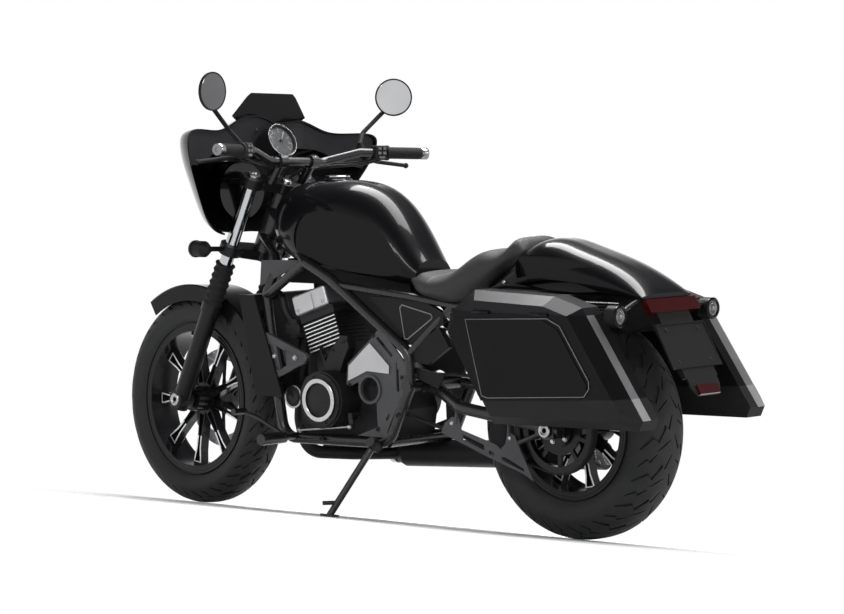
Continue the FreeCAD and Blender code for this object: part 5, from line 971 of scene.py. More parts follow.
def tyre_piece(word, width, radius, blocks):
    line = smooth_half(width, RIM_RADIUS[word], radius)
    reach = sum((there - here).length for here, there in zip(line[:TREAD_STEPS], line[1:TREAD_STEPS + 1]))
    tiles = [tread_block(line, reach, radius, blocks, flip) for flip in (False, True)]
    surfaces = [around(join_meshes(tiles), blocks, 0.0, "tyre")]
    wall = [walk(line, reach)[0]] + line[TREAD_STEPS + 1::2]
    columns = blocks * BLOCK_COLUMNS
    for side in (1.0, -1.0):
        surfaces.append(turned([(side * p.x, p.y) for p in wall], columns))
    bead = wall[-1]
    surfaces.append(turned([(-bead.x, bead.y), (bead.x, bead.y)], columns))
    whole = tidy_mesh(join_meshes(surfaces), TYRE_MERGE, 32.0)
    print(word, "tyre", len(whole.polygons), "faces")
    settle(word + "_tyre_tread", whole, WHEEL_AXES[word], word + "_wheel", "tyre", [word + "_tyre"])


tyre_piece("front", 130.0, FRONT_RADIUS, 20)
tyre_piece("rear", 180.0, REAR_RADIUS, 18)

# %% [markdown]
# The cast wheels are black, and a cutter has skimmed the outer half of every spoke's pocket rim back
# to bare metal. One thin U-shaped strip stands for that cut, on both faces of a spoke, and the round
# recipe sets nine of them about the hub.

# %% Skimmed spoke edges
SPOKE_COUNT = 9
SPOKE_WIDTH = 24.0
SPOKE_DEPTH = 30.0
SPOKE_ANGLE = {"front": 37.0, "rear": 19.0}
# Half the spoke's width as a share, and how far along the spoke it holds.
SPOKE_SIDE_SHARES = [(0.64, 0.0), (0.40, 0.42), (0.46, 0.74), (0.74, 1.0)]
POCKET_INSET = 5.5
HUB_EDGE = 49.0
RIM_WELL = 33.0
SKIM_FROM_SHARE = 0.46
SKIM_STEPS = 8
SKIM_WIDTH = 4.6
SKIM_DEEP = 0.3
SKIM_PROUD = 0.5


def spoke_half_width(share):
    for (a, s), (b, t) in zip(SPOKE_SIDE_SHARES, SPOKE_SIDE_SHARES[1:]):
        if share <= t:
            return a + (b - a) * (share - s) / (t - s)
    return SPOKE_SIDE_SHARES[-1][0]


def skimmed_edge(rim):
    low, high = HUB_EDGE, rim - RIM_WELL
    outer, inner = [], []
    for step in range(SKIM_STEPS + 1):
        share = SKIM_FROM_SHARE + (1.0 - SKIM_FROM_SHARE) * step / SKIM_STEPS
        x = SPOKE_WIDTH * spoke_half_width(share) - POCKET_INSET
        z = low + (high - low) * share
        inner.append((x, z))
        outer.append((x + SKIM_WIDTH, z))
    outer[-1] = (outer[-1][0], high + 3.6)
    inner[-1] = (inner[-1][0], high + 0.4)
    strips = []
    for side in (1.0, -1.0):
        face = side * SPOKE_DEPTH / 2
        near, far = sorted((face - side * SKIM_DEEP, face + side * SKIM_PROUD))
        for k in range(SKIM_STEPS):
            quad = [outer[k], outer[k + 1], inner[k + 1], inner[k]]
            for flip in (1.0, -1.0):
                strips.append(flat_plate([(flip * x, z) for x, z in quad], near, far))
        (x, z), (u, w) = outer[-1], inner[-1]
        strips.append(flat_plate([(-x, z), (x, z), (u, w), (-u, w)], face - 0.4, face + 0.5))
    return join_meshes(strips)


for word, axes in WHEEL_AXES.items():
    edges = around(skimmed_edge(RIM_RADIUS[word]), SPOKE_COUNT, 90.0 - SPOKE_ANGLE[word], "machined")
    settle(word + "_spoke_edges", edges, axes, word + "_wheel", "machined")
print("spoke edges skimmed")

# %% [markdown]
# A rim is turned, and the cutter leaves a stack of rounded steps between the tyre's bead and the well.
# Each step is one bead turned about the axle: the light runs round it as a fine bright line.

# %% Rim steps
# Half the rim's width and the radius of its outermost step.
RIM_LIP = {"front": (50.4, 230.0), "rear": (66.9, 205.0)}
# How far a step lies below the lip and outside it, and its own radius.
RIM_STEPS = ((0.0, 0.0, 2.6), (10.0, -1.0, 1.6), (20.0, -1.0, 1.6))
OCTAGON = [math.tau * k / 8 for k in range(8)]
for word, (half, radius) in RIM_LIP.items():
    beads = []
    for side in (1.0, -1.0):
        for drop, out, size in RIM_STEPS:
            y, r = side * (half + out), radius - drop
            beads.append(lathe([(y + size * math.cos(a), r + size * math.sin(a)) for a in OCTAGON], 96))
    settle(word + "_rim_steps", join_meshes(beads), WHEEL_AXES[word], word + "_wheel", "gloss_black")
print("rims stepped")

# %% [markdown]
# A brake disc is a flat ring drilled with rows of small holes, carried on arms by a hub. The holes
# are real, because the wheel is open and light shows through them. One twelfth of the ring is
# triangulated round its holes, given its thickness, and set down twelve times.

# %% Drilled brake discs
DISC_TILES = 12
DISC_THICK = 5.0
DISC_BAND = 34.0
HOLE_RADIUS = 2.6
HOLE_ROW_SHARES = [0.16, 0.36, 0.56, 0.76, 0.90]
RIM_CHORDS = 8
ARM_COUNT = 6
HUB_RADIUS = 38.0
PAD_HALF = 0.55 * DISC_THICK


def disc_tile(outer, inner):
    half_angle = math.pi / DISC_TILES

    def flat(share, angle):
        r = inner + (outer - inner) * share
        return Vector((r * math.sin(angle), r * math.cos(angle)))

    holes = []
    for k, share in enumerate(HOLE_ROW_SHARES):
        for spot in (0.25, 0.75):
            centre = flat(share, half_angle * (2 * ((spot + 0.1 * k) % 1.0) - 1) * 0.86)
            holes.append([centre + Vector((math.sin(t), math.cos(t))) * HOLE_RADIUS for t in OCTAGON])
    chords = [half_angle * (2 * c / RIM_CHORDS - 1) for c in range(RIM_CHORDS + 1)]
    border = [flat(1.0, angle) for angle in chords] + [flat(0.0, angle) for angle in chords[::-1]]
    verts, faces = triangulated(holes, border, closed=True)
    top = []
    for face in faces:
        spot = middle_of(face, verts)
        if inside(spot, border) and not any(inside(spot, hole) for hole in holes):
            top.append(tuple(face))
    below = len(verts)
    spots = [(v.x, y, v.y) for y in (DISC_THICK / 2, -DISC_THICK / 2) for v in verts]
    made = top + [tuple(v + below for v in reversed(face)) for face in top]

    def on_seam(k):
        return abs(abs(math.atan2(verts[k].x, verts[k].y)) - half_angle) < 1e-4

    used = {(a, b) for face in top for a, b in zip(face, face[1:] + face[:1])}
    for a, b in sorted(used):
        if (b, a) not in used and not (on_seam(a) and on_seam(b)):
            made.append((b, a, a + below, b + below))
    return mesh_of(spots, made)


def carrier_tile(outer):
    """One arm, narrow in the middle, with the round pad that pins the disc to it."""
    half = [(9.0, HUB_RADIUS - 4.0), (5.5, HUB_RADIUS + 22.0), (8.5, outer - 4.0), (8.5, outer + 5.0)]
    arm = half + [(-x, z) for x, z in half[::-1]]
    pad = lathe([(-PAD_HALF, 0.4), (-PAD_HALF, 6.0), (PAD_HALF, 6.0), (PAD_HALF, 0.4)], 12)
    pad.transform(Matrix.Translation((0, 0, outer)))
    return join_meshes([flat_plate(arm, -DISC_THICK / 2, DISC_THICK / 2, 0.7), pad])


def brake_disc(word, radius, y, hub_end):
    name, body = word + "_disc_drilled", word + "_wheel"
    place = shifted(WHEEL_AXES[word], 0, y, 0)
    band = tidy_mesh(around(disc_tile(radius, radius - DISC_BAND), DISC_TILES, 0.0, "disc_steel"), SEAM_MERGE)
    carrier = around(carrier_tile(radius - DISC_BAND - 2.0), ARM_COUNT, 0.0, "fork_black")
    hub = lathe([(-3.0, 15.2), (-3.0, 38.0), (3.0, 38.0), (hub_end, 36.0), (hub_end, 15.2)], 36)
    settle(name + "_band", band, place, body, "disc_steel", [word + "_disc"])
    settle(name + "_carrier", join_meshes([carrier, hub]), place, body, "fork_black")


brake_disc("front", 150.0, -67.5, 5.0)
brake_disc("rear", 120.0, -97.5, 13.0)
print("discs drilled")

# %% [markdown]
# Screws hold everything together, and there are only three kinds in sight: socket heads, domed heads
# and plain hexagons. A head is a stack of rings with a recess in its top. Each spot names a place, a
# direction and a radius, and the second recipe stands a head on it.

# %% Kinds of screw head
HEAD_SIDES = 18
# Each ring is round or a hexagon, with its radius and height as shares of the head's own radius.
SOCKET = [("round", 1.0, -0.3), ("round", 1.0, 0.62), ("round", 0.88, 0.76), ("hex", 0.52, 0.76),
          ("hex", 0.48, 0.18)]
DOME = [("round", 1.0, -0.3), ("round", 1.0, 0.08), ("round", 0.86, 0.36), ("round", 0.62, 0.52),
        ("hex", 0.38, 0.54), ("hex", 0.34, 0.20)]
HEXAGON = [("round", 1.25, -0.3), ("round", 1.25, 0.14), ("hex", 0.90, 0.16), ("hex", 0.90, 0.74),
           ("hex", 0.78, 0.86), ("round", 0.5, 0.88)]
OUT = (0.0, 1.0, 0.0)
IN = (0.0, -1.0, 0.0)
UP = (0.0, 0.0, 1.0)


def hexagon(size, angle):
    return size / math.cos((angle + math.pi / 6) % (math.pi / 3) - math.pi / 6)


def head_mesh(rings):
    points, faces = [], []
    for level, (shape, size, y) in enumerate(rings):
        for k in range(HEAD_SIDES):
            angle = math.tau * k / HEAD_SIDES
            r = hexagon(size, angle) if shape == "hex" else size
            points.append((r * math.sin(angle), y, r * math.cos(angle)))
            if level:
                after = (k + 1) % HEAD_SIDES
                a, b = (level - 1) * HEAD_SIDES, level * HEAD_SIDES
                faces.append((a + k, a + after, b + after, b + k))
    top = (len(rings) - 1) * HEAD_SIDES
    faces.append(tuple(range(HEAD_SIDES))[::-1])
    faces.append(tuple(range(top, top + HEAD_SIDES)))
    return tidy_mesh(mesh_of(points, faces), 1e-5, 30.0)


def heads(name, rings, spots, place, body, slot):
    """Sets heads on spots of (x, y, z, direction, radius)."""
    head = bpy.data.objects.new("head", head_mesh(rings))
    bpy.context.scene.collection.objects.link(head)
    mesh = mesh_of([spot[:3] for spot in spots], [])
    mesh.attributes.new("facing", "FLOAT_VECTOR", "POINT")
    mesh.attributes.new("size", "FLOAT", "POINT")
    for k, (x, y, z, direction, radius) in enumerate(spots):
        mesh.attributes["facing"].data[k].vector = Vector(direction).normalized()
        mesh.attributes["size"].data[k].value = radius
    made = heads_on_points.cook(mesh, {"Head": head, "Finish": finishes[slot]})
    bpy.data.objects.remove(head)
    settle(name, made, place, body, slot)


def ring_spots(x, y, z, radius, count, start, size, side=OUT):
    """A circle of spots whose axle lies along Y."""
    spots = []
    for k in range(count):
        angle = math.radians(start) + math.tau * k / count
        spots.append((x + radius * math.sin(angle), y, z + radius * math.cos(angle), side, size))
    return spots


# %% [markdown]
# The screws' places follow the pieces they hold: a circle on each engine cover, one at each frame
# plate's corner, five on the belt pulley, six on each disc and four on each yoke. They could be set
# by hand in a viewport, but a list by piece is quicker to check against the photograph.

# %% Screw heads
ALTERNATOR = (839.0, 362.0)
CLUTCH_X = 772.0
YOKE_LEVELS = (497.0, 722.0)
engine_screws = ring_spots(ALTERNATOR[0], 188.5, ALTERNATOR[1], 70.5, 6, 20.0, 3.6)
engine_screws += ring_spots(CLUTCH_X, -168.0, ALTERNATOR[1], 86.0, 8, 10.0, 4.6, IN)
engine_screws += ring_spots(1024.0, 104.0, 557.0, 24.0, 4, 45.0, 4.4)
engine_screws += [(x, 130, z, OUT, 4.2) for x, z in ((795, 530), (782, 535), (838, 505), (868, 486))]
bracket_bolts = [(x, 149, z, OUT, 6.2) for x, z in ((973, 477), (1056, 478))]
bracket_bolts += [(x, 137, z, OUT, 6.0) for x, z in ((371, 317), (155, 288))]
frame_bolts = [(640, 154, 285, OUT, 6.5), (748, 154, 409, OUT, 5.0), (655, 154, 556, OUT, 5.5),
               (545, 154, 440, OUT, 5.5), (860, 156, 246, OUT, 8.0), (560, 156, 330, OUT, 7.0)]
tail_studs = [(184, side * 124, 725, (0, side, 0.2), 6.0) for word, side in SIDES]
yoke_screws = [(-36.0, side * 88.0, level + rise, (-1, 0, 0), 4.2)
               for level in YOKE_LEVELS for word, side in SIDES for rise in (9, 21)]
heads("engine_screws", SOCKET, engine_screws, upright_mm, "chassis", "bolt_black")
heads("bracket_bolts", HEXAGON, bracket_bolts, upright_mm, "chassis", "bolt_silver")
heads("frame_bolts", SOCKET, frame_bolts, upright_mm, "chassis", "bolt_black")
heads("tail_studs", DOME, tail_studs, upright_mm, "chassis", "bolt_silver")
heads("pulley_bolts", HEXAGON, ring_spots(0, 119.0, 0, 38.0, 5, 12.0, 6.4), rear_wheel_mm, "rear_wheel",
      "bolt_silver")
for word, y in (("front", -70.6), ("rear", -100.6)):
    heads(word + "_disc_bolts", DOME, ring_spots(0, y, 0, 31.0, 6, 30.0, 4.6, IN), WHEEL_AXES[word],
          word + "_wheel", "bolt_silver")
heads("yoke_screws", SOCKET, yoke_screws, fork_mm, "steering", "bolt_black")
print("screws set")

# %% [markdown]
# Each axle ends in a hollow nut on both sides, each fork leg in a domed cap, and the steering stem in
# a tall nut. All are turned pieces, so one profile each is enough. A lathe's axis lies along Y, and
# a nut on the right looks the other way.

# %% Axle ends, fork caps and the steering stem's nut
AXLE_NUT = [(0.0, 8.0), (0.0, 19.0), (3.0, 19.0), (4.6, 17.4), (4.6, 12.5), (2.6, 10.0), (2.6, 8.0)]
REAR_NUT = [(y, r * 1.05) for y, r in AXLE_NUT]
FORK_CAP = [(-2.0, 0.4), (-2.0, 19.5), (3.0, 19.5), (5.0, 17.5), (5.0, 11.0), (2.0, 9.5), (2.0, 0.4)]
STEM_NUT = [(-3.0, 0.4), (-3.0, 17.0), (2.0, 17.0), (9.0, 14.0), (10.5, 8.0), (10.5, 0.4)]
for word, side in SIDES:
    outward = Matrix.Rotation(0 if side > 0 else math.pi, 4, "X")
    front_place = shifted(steered_mm, WHEELBASE, side * 128.0, FRONT_RADIUS) @ outward
    rear_place = shifted(upright_mm, 0, side * 173.4, REAR_RADIUS) @ outward
    cap_place = shifted(fork_mm, 0, side * 102.0, 758.0) @ STAND_UP
    settle("front_axle_nut_" + word, lathe(AXLE_NUT, 36), front_place, "steering", "bolt_silver")
    settle("rear_axle_nut_" + word, lathe(REAR_NUT, 36), rear_place, "chassis", "bolt_silver")
    settle("fork_cap_" + word, lathe(FORK_CAP, 36), cap_place, "steering", "bolt_silver")
stem_nut_place = shifted(fork_mm, -35.0, 0, 752.0) @ STAND_UP
settle("stem_nut", lathe(STEM_NUT, 30), stem_nut_place, "steering", "bolt_silver")
print("axle ends and caps set")

# %% [markdown]
# The dial sits inside its bezel: a grey card with ticks and plain numbers, a slim needle and a boss,
# all under glass. It is drawn flat in X and Y and then turned to face the rider.

# %% Dial
DIAL_CENTRE = Vector((1168.0, 0.0, 1110.1))
DIAL_FACING = Vector((-0.89838, 0.0, 0.43921))
DIAL_CARD = 46.6
DIAL_SIDES = 48
FIRST_TICK = 225.0
TICK_SWEEP = 270.0
TICKS = 40
NUMBERS = 8
NUMBER_SIZE = 7.0
NUMBER_CIRCLE = 30.0
MARK_HEIGHT = 1.0
# A tick's distance from the centre, its length and its width.
LONG_TICK = (38.0, 6.0, 1.1)
SHORT_TICK = (39.6, 2.8, 0.6)
NEEDLE_ANGLE = math.radians(58.0)
dial_right = Vector((0, -1, 0))
dial_turn = Matrix((dial_right, DIAL_FACING.cross(dial_right), DIAL_FACING)).transposed().to_4x4()
dial_mm = shifted(steered_mm, *DIAL_CENTRE) @ dial_turn


def on_circle(radius, angle, height):
    return Vector((radius * math.cos(angle), radius * math.sin(angle), height))


def flat_bar(distance, angle, length, width, height):
    """A thin bar that points outwards, its middle at a distance from the dial's centre."""
    ring = rectangle(distance - length / 2, -width / 2, distance + length / 2, width / 2)
    mesh = mesh_of([(x, y, height) for x, y in ring], [(0, 1, 2, 3)])
    mesh.transform(Matrix.Rotation(angle, 4, "Z"))
    return mesh


def number_mesh(words, spot):
    curve = bpy.data.curves.new("number", "FONT")
    curve.body = words
    curve.size = NUMBER_SIZE
    curve.align_x = "CENTER"
    curve.align_y = "CENTER"
    holder = bpy.data.objects.new("number", curve)
    mesh = bpy.data.meshes.new_from_object(holder)
    bpy.data.objects.remove(holder)
    mesh.transform(Matrix.Translation(spot))
    return mesh


def dial_ring(name, profile, steps, slot):
    settle(name, lathe(profile, steps), dial_mm @ STAND_UP, "steering", slot)


marks = []
for k in range(TICKS + 1):
    distance, length, width = LONG_TICK if k % 5 == 0 else SHORT_TICK
    angle = math.radians(FIRST_TICK - TICK_SWEEP * k / TICKS)
    marks.append(flat_bar(distance, angle, length, width, MARK_HEIGHT))
for k in range(NUMBERS + 1):
    angle = math.radians(FIRST_TICK - TICK_SWEEP * k / NUMBERS)
    marks.append(number_mesh(str(k * 2), on_circle(NUMBER_CIRCLE, angle, MARK_HEIGHT)))
card = [on_circle(DIAL_CARD, math.tau * k / DIAL_SIDES, 0.6) for k in range(DIAL_SIDES)]
settle("dial_marks", join_meshes(marks), dial_mm, "steering", "dial_white")
settle("dial_card", mesh_of(card, [tuple(range(DIAL_SIDES))]), dial_mm, "steering", "dial_grey")
settle("dial_needle", flat_bar(12.0, NEEDLE_ANGLE, 46.0, 1.8, 3.0), dial_mm, "steering", "dial_white")
dial_ring("dial_boss", [(0.6, 0.3), (0.6, 6.0), (4.0, 6.0), (5.5, 4.0), (5.5, 0.3)], 20, "bolt_black")
dial_ring("dial_bezel", [(2.0, 46.2), (2.0, 47.6), (8.0, 52.5), (8.6, 51.0), (6.0, 47.0), (3.0, 45.6)], 64,
          "bolt_black")
dial_ring("dial_ring", [(8.4, 51.4), (8.4, 52.6), (9.2, 52.4), (9.2, 51.4)], 64, "ring_silver")
dial_ring("dial_glass", [(5.0, 0.3), (5.0, 47.4), (5.9, 47.4), (6.6, 30.0), (6.9, 0.3)], 48, "clear_glass")
dash_screws = [(1225, y, 1142, (-0.9, 0, 0.44), 6.0) for y in (46, -101)]
heads("dash_screws", DOME, dash_screws, steered_mm, "steering", "bolt_black")
print("dial made with", TICKS + 1, "ticks")

# %% [markdown]
# A mirror is a glass disc in a black rim, turned about its own axis and aimed. The rider has turned
# the two by different angles, and the left one faces the dark side of the room, so its glass is
# painted darker: a painted reflection of that dark side.

# %% Mirror glass
MIRROR_SPOT = (1062.0, 361.0, 1250.0)
MIRROR_TURN = {"left": 8.0, "right": 34.0}
MIRROR_SLOT = {"left": "mirror_shade", "right": "mirror"}
MIRROR_GLASS = [(0.1, 0.3), (0.1, 52.6), (1.0, 52.6), (1.4, 51.0), (1.6, 0.3)]
MIRROR_RIM = [(-2.0, 55.6), (-2.0, 57.2), (1.6, 57.0), (2.2, 54.6), (1.4, 52.8), (0.0, 52.8)]
for word, side in SIDES:
    angle = math.radians(MIRROR_TURN[word])
    x, y, z = MIRROR_SPOT
    place = steered_mm @ aimed(Vector((x, side * y, z)), (-math.cos(angle), -side * math.sin(angle), 0.0))
    settle("mirror_glass_" + word, lathe(MIRROR_GLASS, 56), place, "steering", MIRROR_SLOT[word])
    settle("mirror_rim_" + word, lathe(MIRROR_RIM, 56), place, "steering", "satin_black")
print("mirrors glazed")

# %% [markdown]
# A lamp's lens stands a little proud of its housing, with fine ribs moulded inside, and a bright bowl
# and a bulb behind it. The housing keeps a rim round the lens. The ribs are one small plate that the
# round recipe repeats, and the rest is turned.

# %% Rear turn lamps
REAR_LAMP = (-298.0, 207.4, 650.0)
LENS = [(-1.0, 0.3), (-1.0, 20.6), (1.0, 20.6), (3.0, 18.4), (4.6, 13.0), (5.6, 7.0), (6.0, 0.3)]
HOUSING_RIM = [(-2.0, 20.4), (-2.0, 30.6), (1.0, 30.6), (4.0, 27.0), (5.0, 23.4), (3.0, 20.8)]
BOWL = [(-0.6, 0.3), (-0.6, 20.4), (0.6, 20.4), (0.2, 12.0), (0.0, 0.3)]
BULB = [(0.0, 0.3), (0.0, 5.0), (3.6, 5.0), (4.8, 2.0), (5.0, 0.3)]
RIB_COUNT = 16
LENS_RIB = [(-0.5, 7.0), (0.5, 7.0), (0.9, 19.0), (-0.9, 19.0)]
STEM_ROUTE = [(-281.0, 150.0, 668.0), (-281.0, 172.0, 662.0), (-281.0, 196.0, 655.0)]


def mirrored(route, side):
    return [(x, y * side, z) for x, y, z in route]


for word, side in SIDES:
    spot = mirrored([REAR_LAMP], side)[0]
    place = upright_mm @ aimed(Vector(spot), (-1, 0, 0))
    ribs = around(flat_plate(LENS_RIB, 0.2, 1.4), RIB_COUNT, 0.0, "bolt_silver")
    bowl = join_meshes([lathe(BOWL, 36), lathe(BULB, 20)])
    stem = along_path(mirrored(STEM_ROUTE, side), 9.0, 20)
    settle("rear_turn_bowl_" + word, bowl, place, "chassis", "ring_silver")
    settle("rear_turn_ribs_" + word, ribs, place, "chassis", "bolt_black")
    settle("rear_turn_lens_" + word, lathe(LENS, 40), place, "chassis", "clear_lens")
    settle("rear_turn_rim_" + word, lathe(HOUSING_RIM, 40), place, "chassis", "gloss_black")
    settle("rear_turn_stem_" + word, stem, upright_mm, "chassis", "gloss_black")
print("rear turn lamps made")

# %% [markdown]
# The headlamp is a faceted bright bowl with a hooded bulb, under a slightly domed lens in a chromed
# rim. Its solid in the frame gives the size and the place, so the lamp is measured from it.

# %% Headlamp
LAMP_EDGE = 4.0
lamp_points = corners_of("headlamp", steered_mm)
lamp_front = max(point.x for point in lamp_points)
lamp_height = sum(point.z for point in lamp_points) / len(lamp_points)
lamp_radius = (max(point.z for point in lamp_points) - min(point.z for point in lamp_points)) / 2
lamp_place = steered_mm @ aimed(Vector((lamp_front, 0.0, lamp_height)), (1, 0, 0))
lens_radius = lamp_radius - LAMP_EDGE


def headlamp_parts(r):
    """Each part's name, its profile, its steps round the axis and its finish."""
    bowl = [(0.2, 0.3), (0.2, r), (8.6, r), (5.2, r * 0.84), (2.8, r * 0.64), (1.2, r * 0.42), (0.6, 0.3)]
    bulb = [(0.4, 0.3), (0.4, 17.0), (5.0, 17.0), (8.0, 14.0), (8.6, 0.3)]
    lens = [(9.0, 0.3), (9.0, r), (9.6, r), (11.2, r * 0.8), (12.6, r * 0.4), (13.0, 0.3)]
    rim = [(-6.0, r + 0.2), (-6.0, r + 4.4), (8.0, r + 4.4), (11.0, r + 2.4), (10.0, r + 0.2)]
    return (("bowl", bowl, 20, "chrome"), ("bulb", bulb, 32, "bolt_black"), ("lens", lens, 48, "clear_lens"),
            ("rim", rim, 64, "chrome"))


for part, profile, steps, slot in headlamp_parts(lens_radius):
    settle("headlamp_" + part, lathe(profile, steps), lamp_place, "steering", slot)
print("headlamp front", round(lamp_front), "height", round(lamp_height), "radius", round(lamp_radius))

# %% [markdown]
# The front turn lamps are bullets of dark clear plastic in a black barrel, at the ends of two arms
# from the lower yoke. The arms' roots are known along the fork, and the bullets look straight ahead.

# %% Front bullet lamps
LAMP_ARM_ROOT = (0, 136.0, 512.0)
LAMP_ARM_REACH = (27.0, 79.4, 0)
BULLET = [(-2.0, 0.3), (-2.0, 24.0), (2.0, 24.2), (8.0, 22.0), (13.0, 17.0), (16.5, 9.0), (17.5, 0.3)]
BARREL = [(-4.0, 22.0), (-4.0, 26.0), (4.0, 26.2), (6.0, 25.0), (6.0, 23.0)]
fork_home = Matrix.Translation((WHEELBASE, 0, FRONT_RADIUS)) @ Matrix.Rotation(-RAKE, 4, "Y")
for word, side in SIDES:
    root, reach = (Vector(spot) for spot in mirrored([LAMP_ARM_ROOT, LAMP_ARM_REACH], side))
    place = steered_mm @ aimed(fork_home @ root + reach, (1, 0, 0))
    settle("front_turn_lens_" + word, lathe(BULLET, 40), place, "steering", "clear_lens")
    settle("front_turn_rim_" + word, lathe(BARREL, 40), place, "steering", "gloss_black")
print("front turn lamps made")

# %% [markdown]
# The number plate is blank, with a raised rim and four screws. Its solid stands at a slant, so the
# plate's own axes come from the solid's highest and lowest points, and the rim is drawn flat on them.

# %% Number plate
PLATE_WIDTH = 218.0
PLATE_HEIGHT = 134.0
PLATE_CORNER = 6.0
PLATE_RIM = 3.0
plate_points = corners_of("number_plate", upright_mm)
plate_top = max(plate_points, key=lambda p: p.z)
plate_bottom = min(plate_points, key=lambda p: p.z)
plate_middle = sum(plate_points, Vector()) / len(plate_points)
plate_down = Vector((plate_bottom.x - plate_top.x, 0, plate_bottom.z - plate_top.z)).normalized()
plate_out = Vector((plate_down.z, 0, -plate_down.x))
if plate_out.x > 0:
    plate_out.negate()
plate_across = Vector((0, 1, 0))
plate_turn = Matrix((plate_across, plate_out, plate_across.cross(plate_out))).transposed().to_4x4()
plate_mm = shifted(upright_mm, *plate_middle) @ plate_turn


def cut_corners(width, height, corner):
    """A rectangle with its corners cut, round the origin."""
    w, h, c = width / 2, height / 2, corner
    right = [(w - c, -h), (w, -h + c), (w, h - c), (w - c, h)]
    return [(-w + c, -h), *right, (-w + c, h), (-w, h - c), (-w, -h + c)]


plate_edge = cut_corners(PLATE_WIDTH, PLATE_HEIGHT, PLATE_CORNER)
inner_width_share = 1 - 2 * PLATE_RIM / PLATE_WIDTH
inner_height_share = 1 - 2 * PLATE_RIM / PLATE_HEIGHT
plate_inner = [(x * inner_width_share, z * inner_height_share) for x, z in plate_edge]
plate_screws = [(x, 1.6, z, OUT, 5.0) for z in (48.0, -48.0) for x in (-70.0, 70.0)]
settle("plate_rim", flat_rim(plate_edge, plate_inner, 1.0, 3.2), plate_mm, "chassis", "satin_black")
heads("plate_screws", DOME, plate_screws, plate_mm, "chassis", "bolt_black")
print("plate at", [round(c) for c in plate_middle])

# %% [markdown]
# The engine's show pieces: a bright skimmed edge on every cooling fin, a ridge down the silver head
# cover and a dark gasket under it. The cylinders lean forward, so these are drawn along the cylinder
# and turned with it.

# %% Cylinder trim
CYLINDER_LEAN = math.radians(18.4)
FIN_COUNT = 8
FIN_LOW = 154.5
FIN_PITCH = 11.3
FIN_EDGE = 3.0
FIN_BACK = -70.4
FIN_FRONT = 59.2
# How far out the two faces of each plate lie.
FIN_FACES = (111.6, 112.8)
RIDGE_FACES = (125.0, 131.0)
GASKET_FACES = (112.0, 114.0)
HEAD_RIDGE = [(-13.0, 318.0), (9.0, 318.0), (1.0, 279.0), (-3.0, 279.0)]
GASKET = rectangle(-74.0, 262.0, 67.0, 267.5)
cylinder_mm = shifted(upright_mm, ALTERNATOR[0], 0, ALTERNATOR[1]) @ Matrix.Rotation(CYLINDER_LEAN, 4, "Y")
fin_edges = []
for k in range(FIN_COUNT):
    low = FIN_LOW + FIN_PITCH * k + 0.2
    fin_edges += both_faces(rectangle(FIN_BACK, low, FIN_FRONT, low + FIN_EDGE), *FIN_FACES, 0.25)
ridges = both_faces(HEAD_RIDGE, *RIDGE_FACES, 1.5)
gaskets = both_faces(GASKET, *GASKET_FACES, 0.5)
cover_bolts = [(x, y, 283, side, 5.0) for y, side in ((128, OUT), (-128, IN)) for x in (-52, 52)]
settle("fin_edges", join_meshes(fin_edges), cylinder_mm, "chassis", "machined")
settle("head_cover_ridge", join_meshes(ridges), cylinder_mm, "chassis", "cover_silver")
settle("head_gasket", join_meshes(gaskets), cylinder_mm, "chassis", "engine_black")
heads("head_cover_bolts", DOME, cover_bolts, cylinder_mm, "chassis", "bolt_silver")
print("cylinders trimmed with", len(fin_edges), "fin edges")

# %% [markdown]
# Behind the cylinders an air box fills the space under the tank: a plate with well rounded edges is
# enough, because only its outline shows between the frame tubes. The alternator's face is bare inside
# a bright ring, the header has a clamp where the silencer starts, and the horn is a ring and a dome.

# %% Engine cover trim
AIRBOX = [(1110, 690), (1110, 762), (960, 764), (900, 746), (668, 738), (600, 716), (585, 640), (640, 520),
          (740, 515), (800, 590), (860, 660), (940, 690)]
AIRBOX_HALF_WIDTH = 48.0
AIRBOX_EASE = 9.0
HORN = (1008.0, 358.0)
EXHAUST_CLAMP = Vector((784.0, -100.0, 188.0))
ALTERNATOR_FACE = [(0.0, 0.3), (0.0, 49.6), (1.6, 49.6), (2.4, 48.0), (2.4, 0.3)]
ALTERNATOR_RING = [(-3.0, 49.9), (-3.0, 63.3), (0.4, 63.3), (1.2, 62.2), (1.2, 51.0), (0.4, 49.9)]
CLAMP = [(0.0, 28.7), (0.0, 31.4), (19.0, 31.4), (19.0, 28.7)]
HORN_RING = [(-2.0, 29.0), (-2.0, 34.6), (1.2, 34.6), (2.0, 33.0), (1.2, 29.0)]
HORN_DOME = [(0.0, 0.3), (0.0, 22.0), (2.0, 21.0), (4.0, 12.0), (4.4, 4.0), (7.0, 3.4), (7.4, 0.3)]
clamp_place = upright_mm @ aimed(EXHAUST_CLAMP, (1, 0, 0))
airbox = flat_plate(AIRBOX, -AIRBOX_HALF_WIDTH, AIRBOX_HALF_WIDTH, AIRBOX_EASE)


def engine_round(name, profile, steps, centre, y, slot):
    """A turned piece whose axis lies across the engine."""
    settle(name, lathe(profile, steps), shifted(upright_mm, centre[0], y, centre[1]), "chassis", slot)


engine_round("alternator_face", ALTERNATOR_FACE, 56, ALTERNATOR, 188.3, "engine_black")
engine_round("alternator_ring", ALTERNATOR_RING, 72, ALTERNATOR, 195.0, "ring_silver")
settle("airbox", airbox, upright_mm, "chassis", "satin_black")
settle("exhaust_clamp", lathe(CLAMP, 36), clamp_place, "chassis", "bolt_silver")
engine_round("horn_ring", HORN_RING, 44, HORN, 121.0, "bolt_silver")
engine_round("horn_dome", HORN_DOME, 32, HORN, 121.2, "bolt_black")
print("engine covers trimmed")
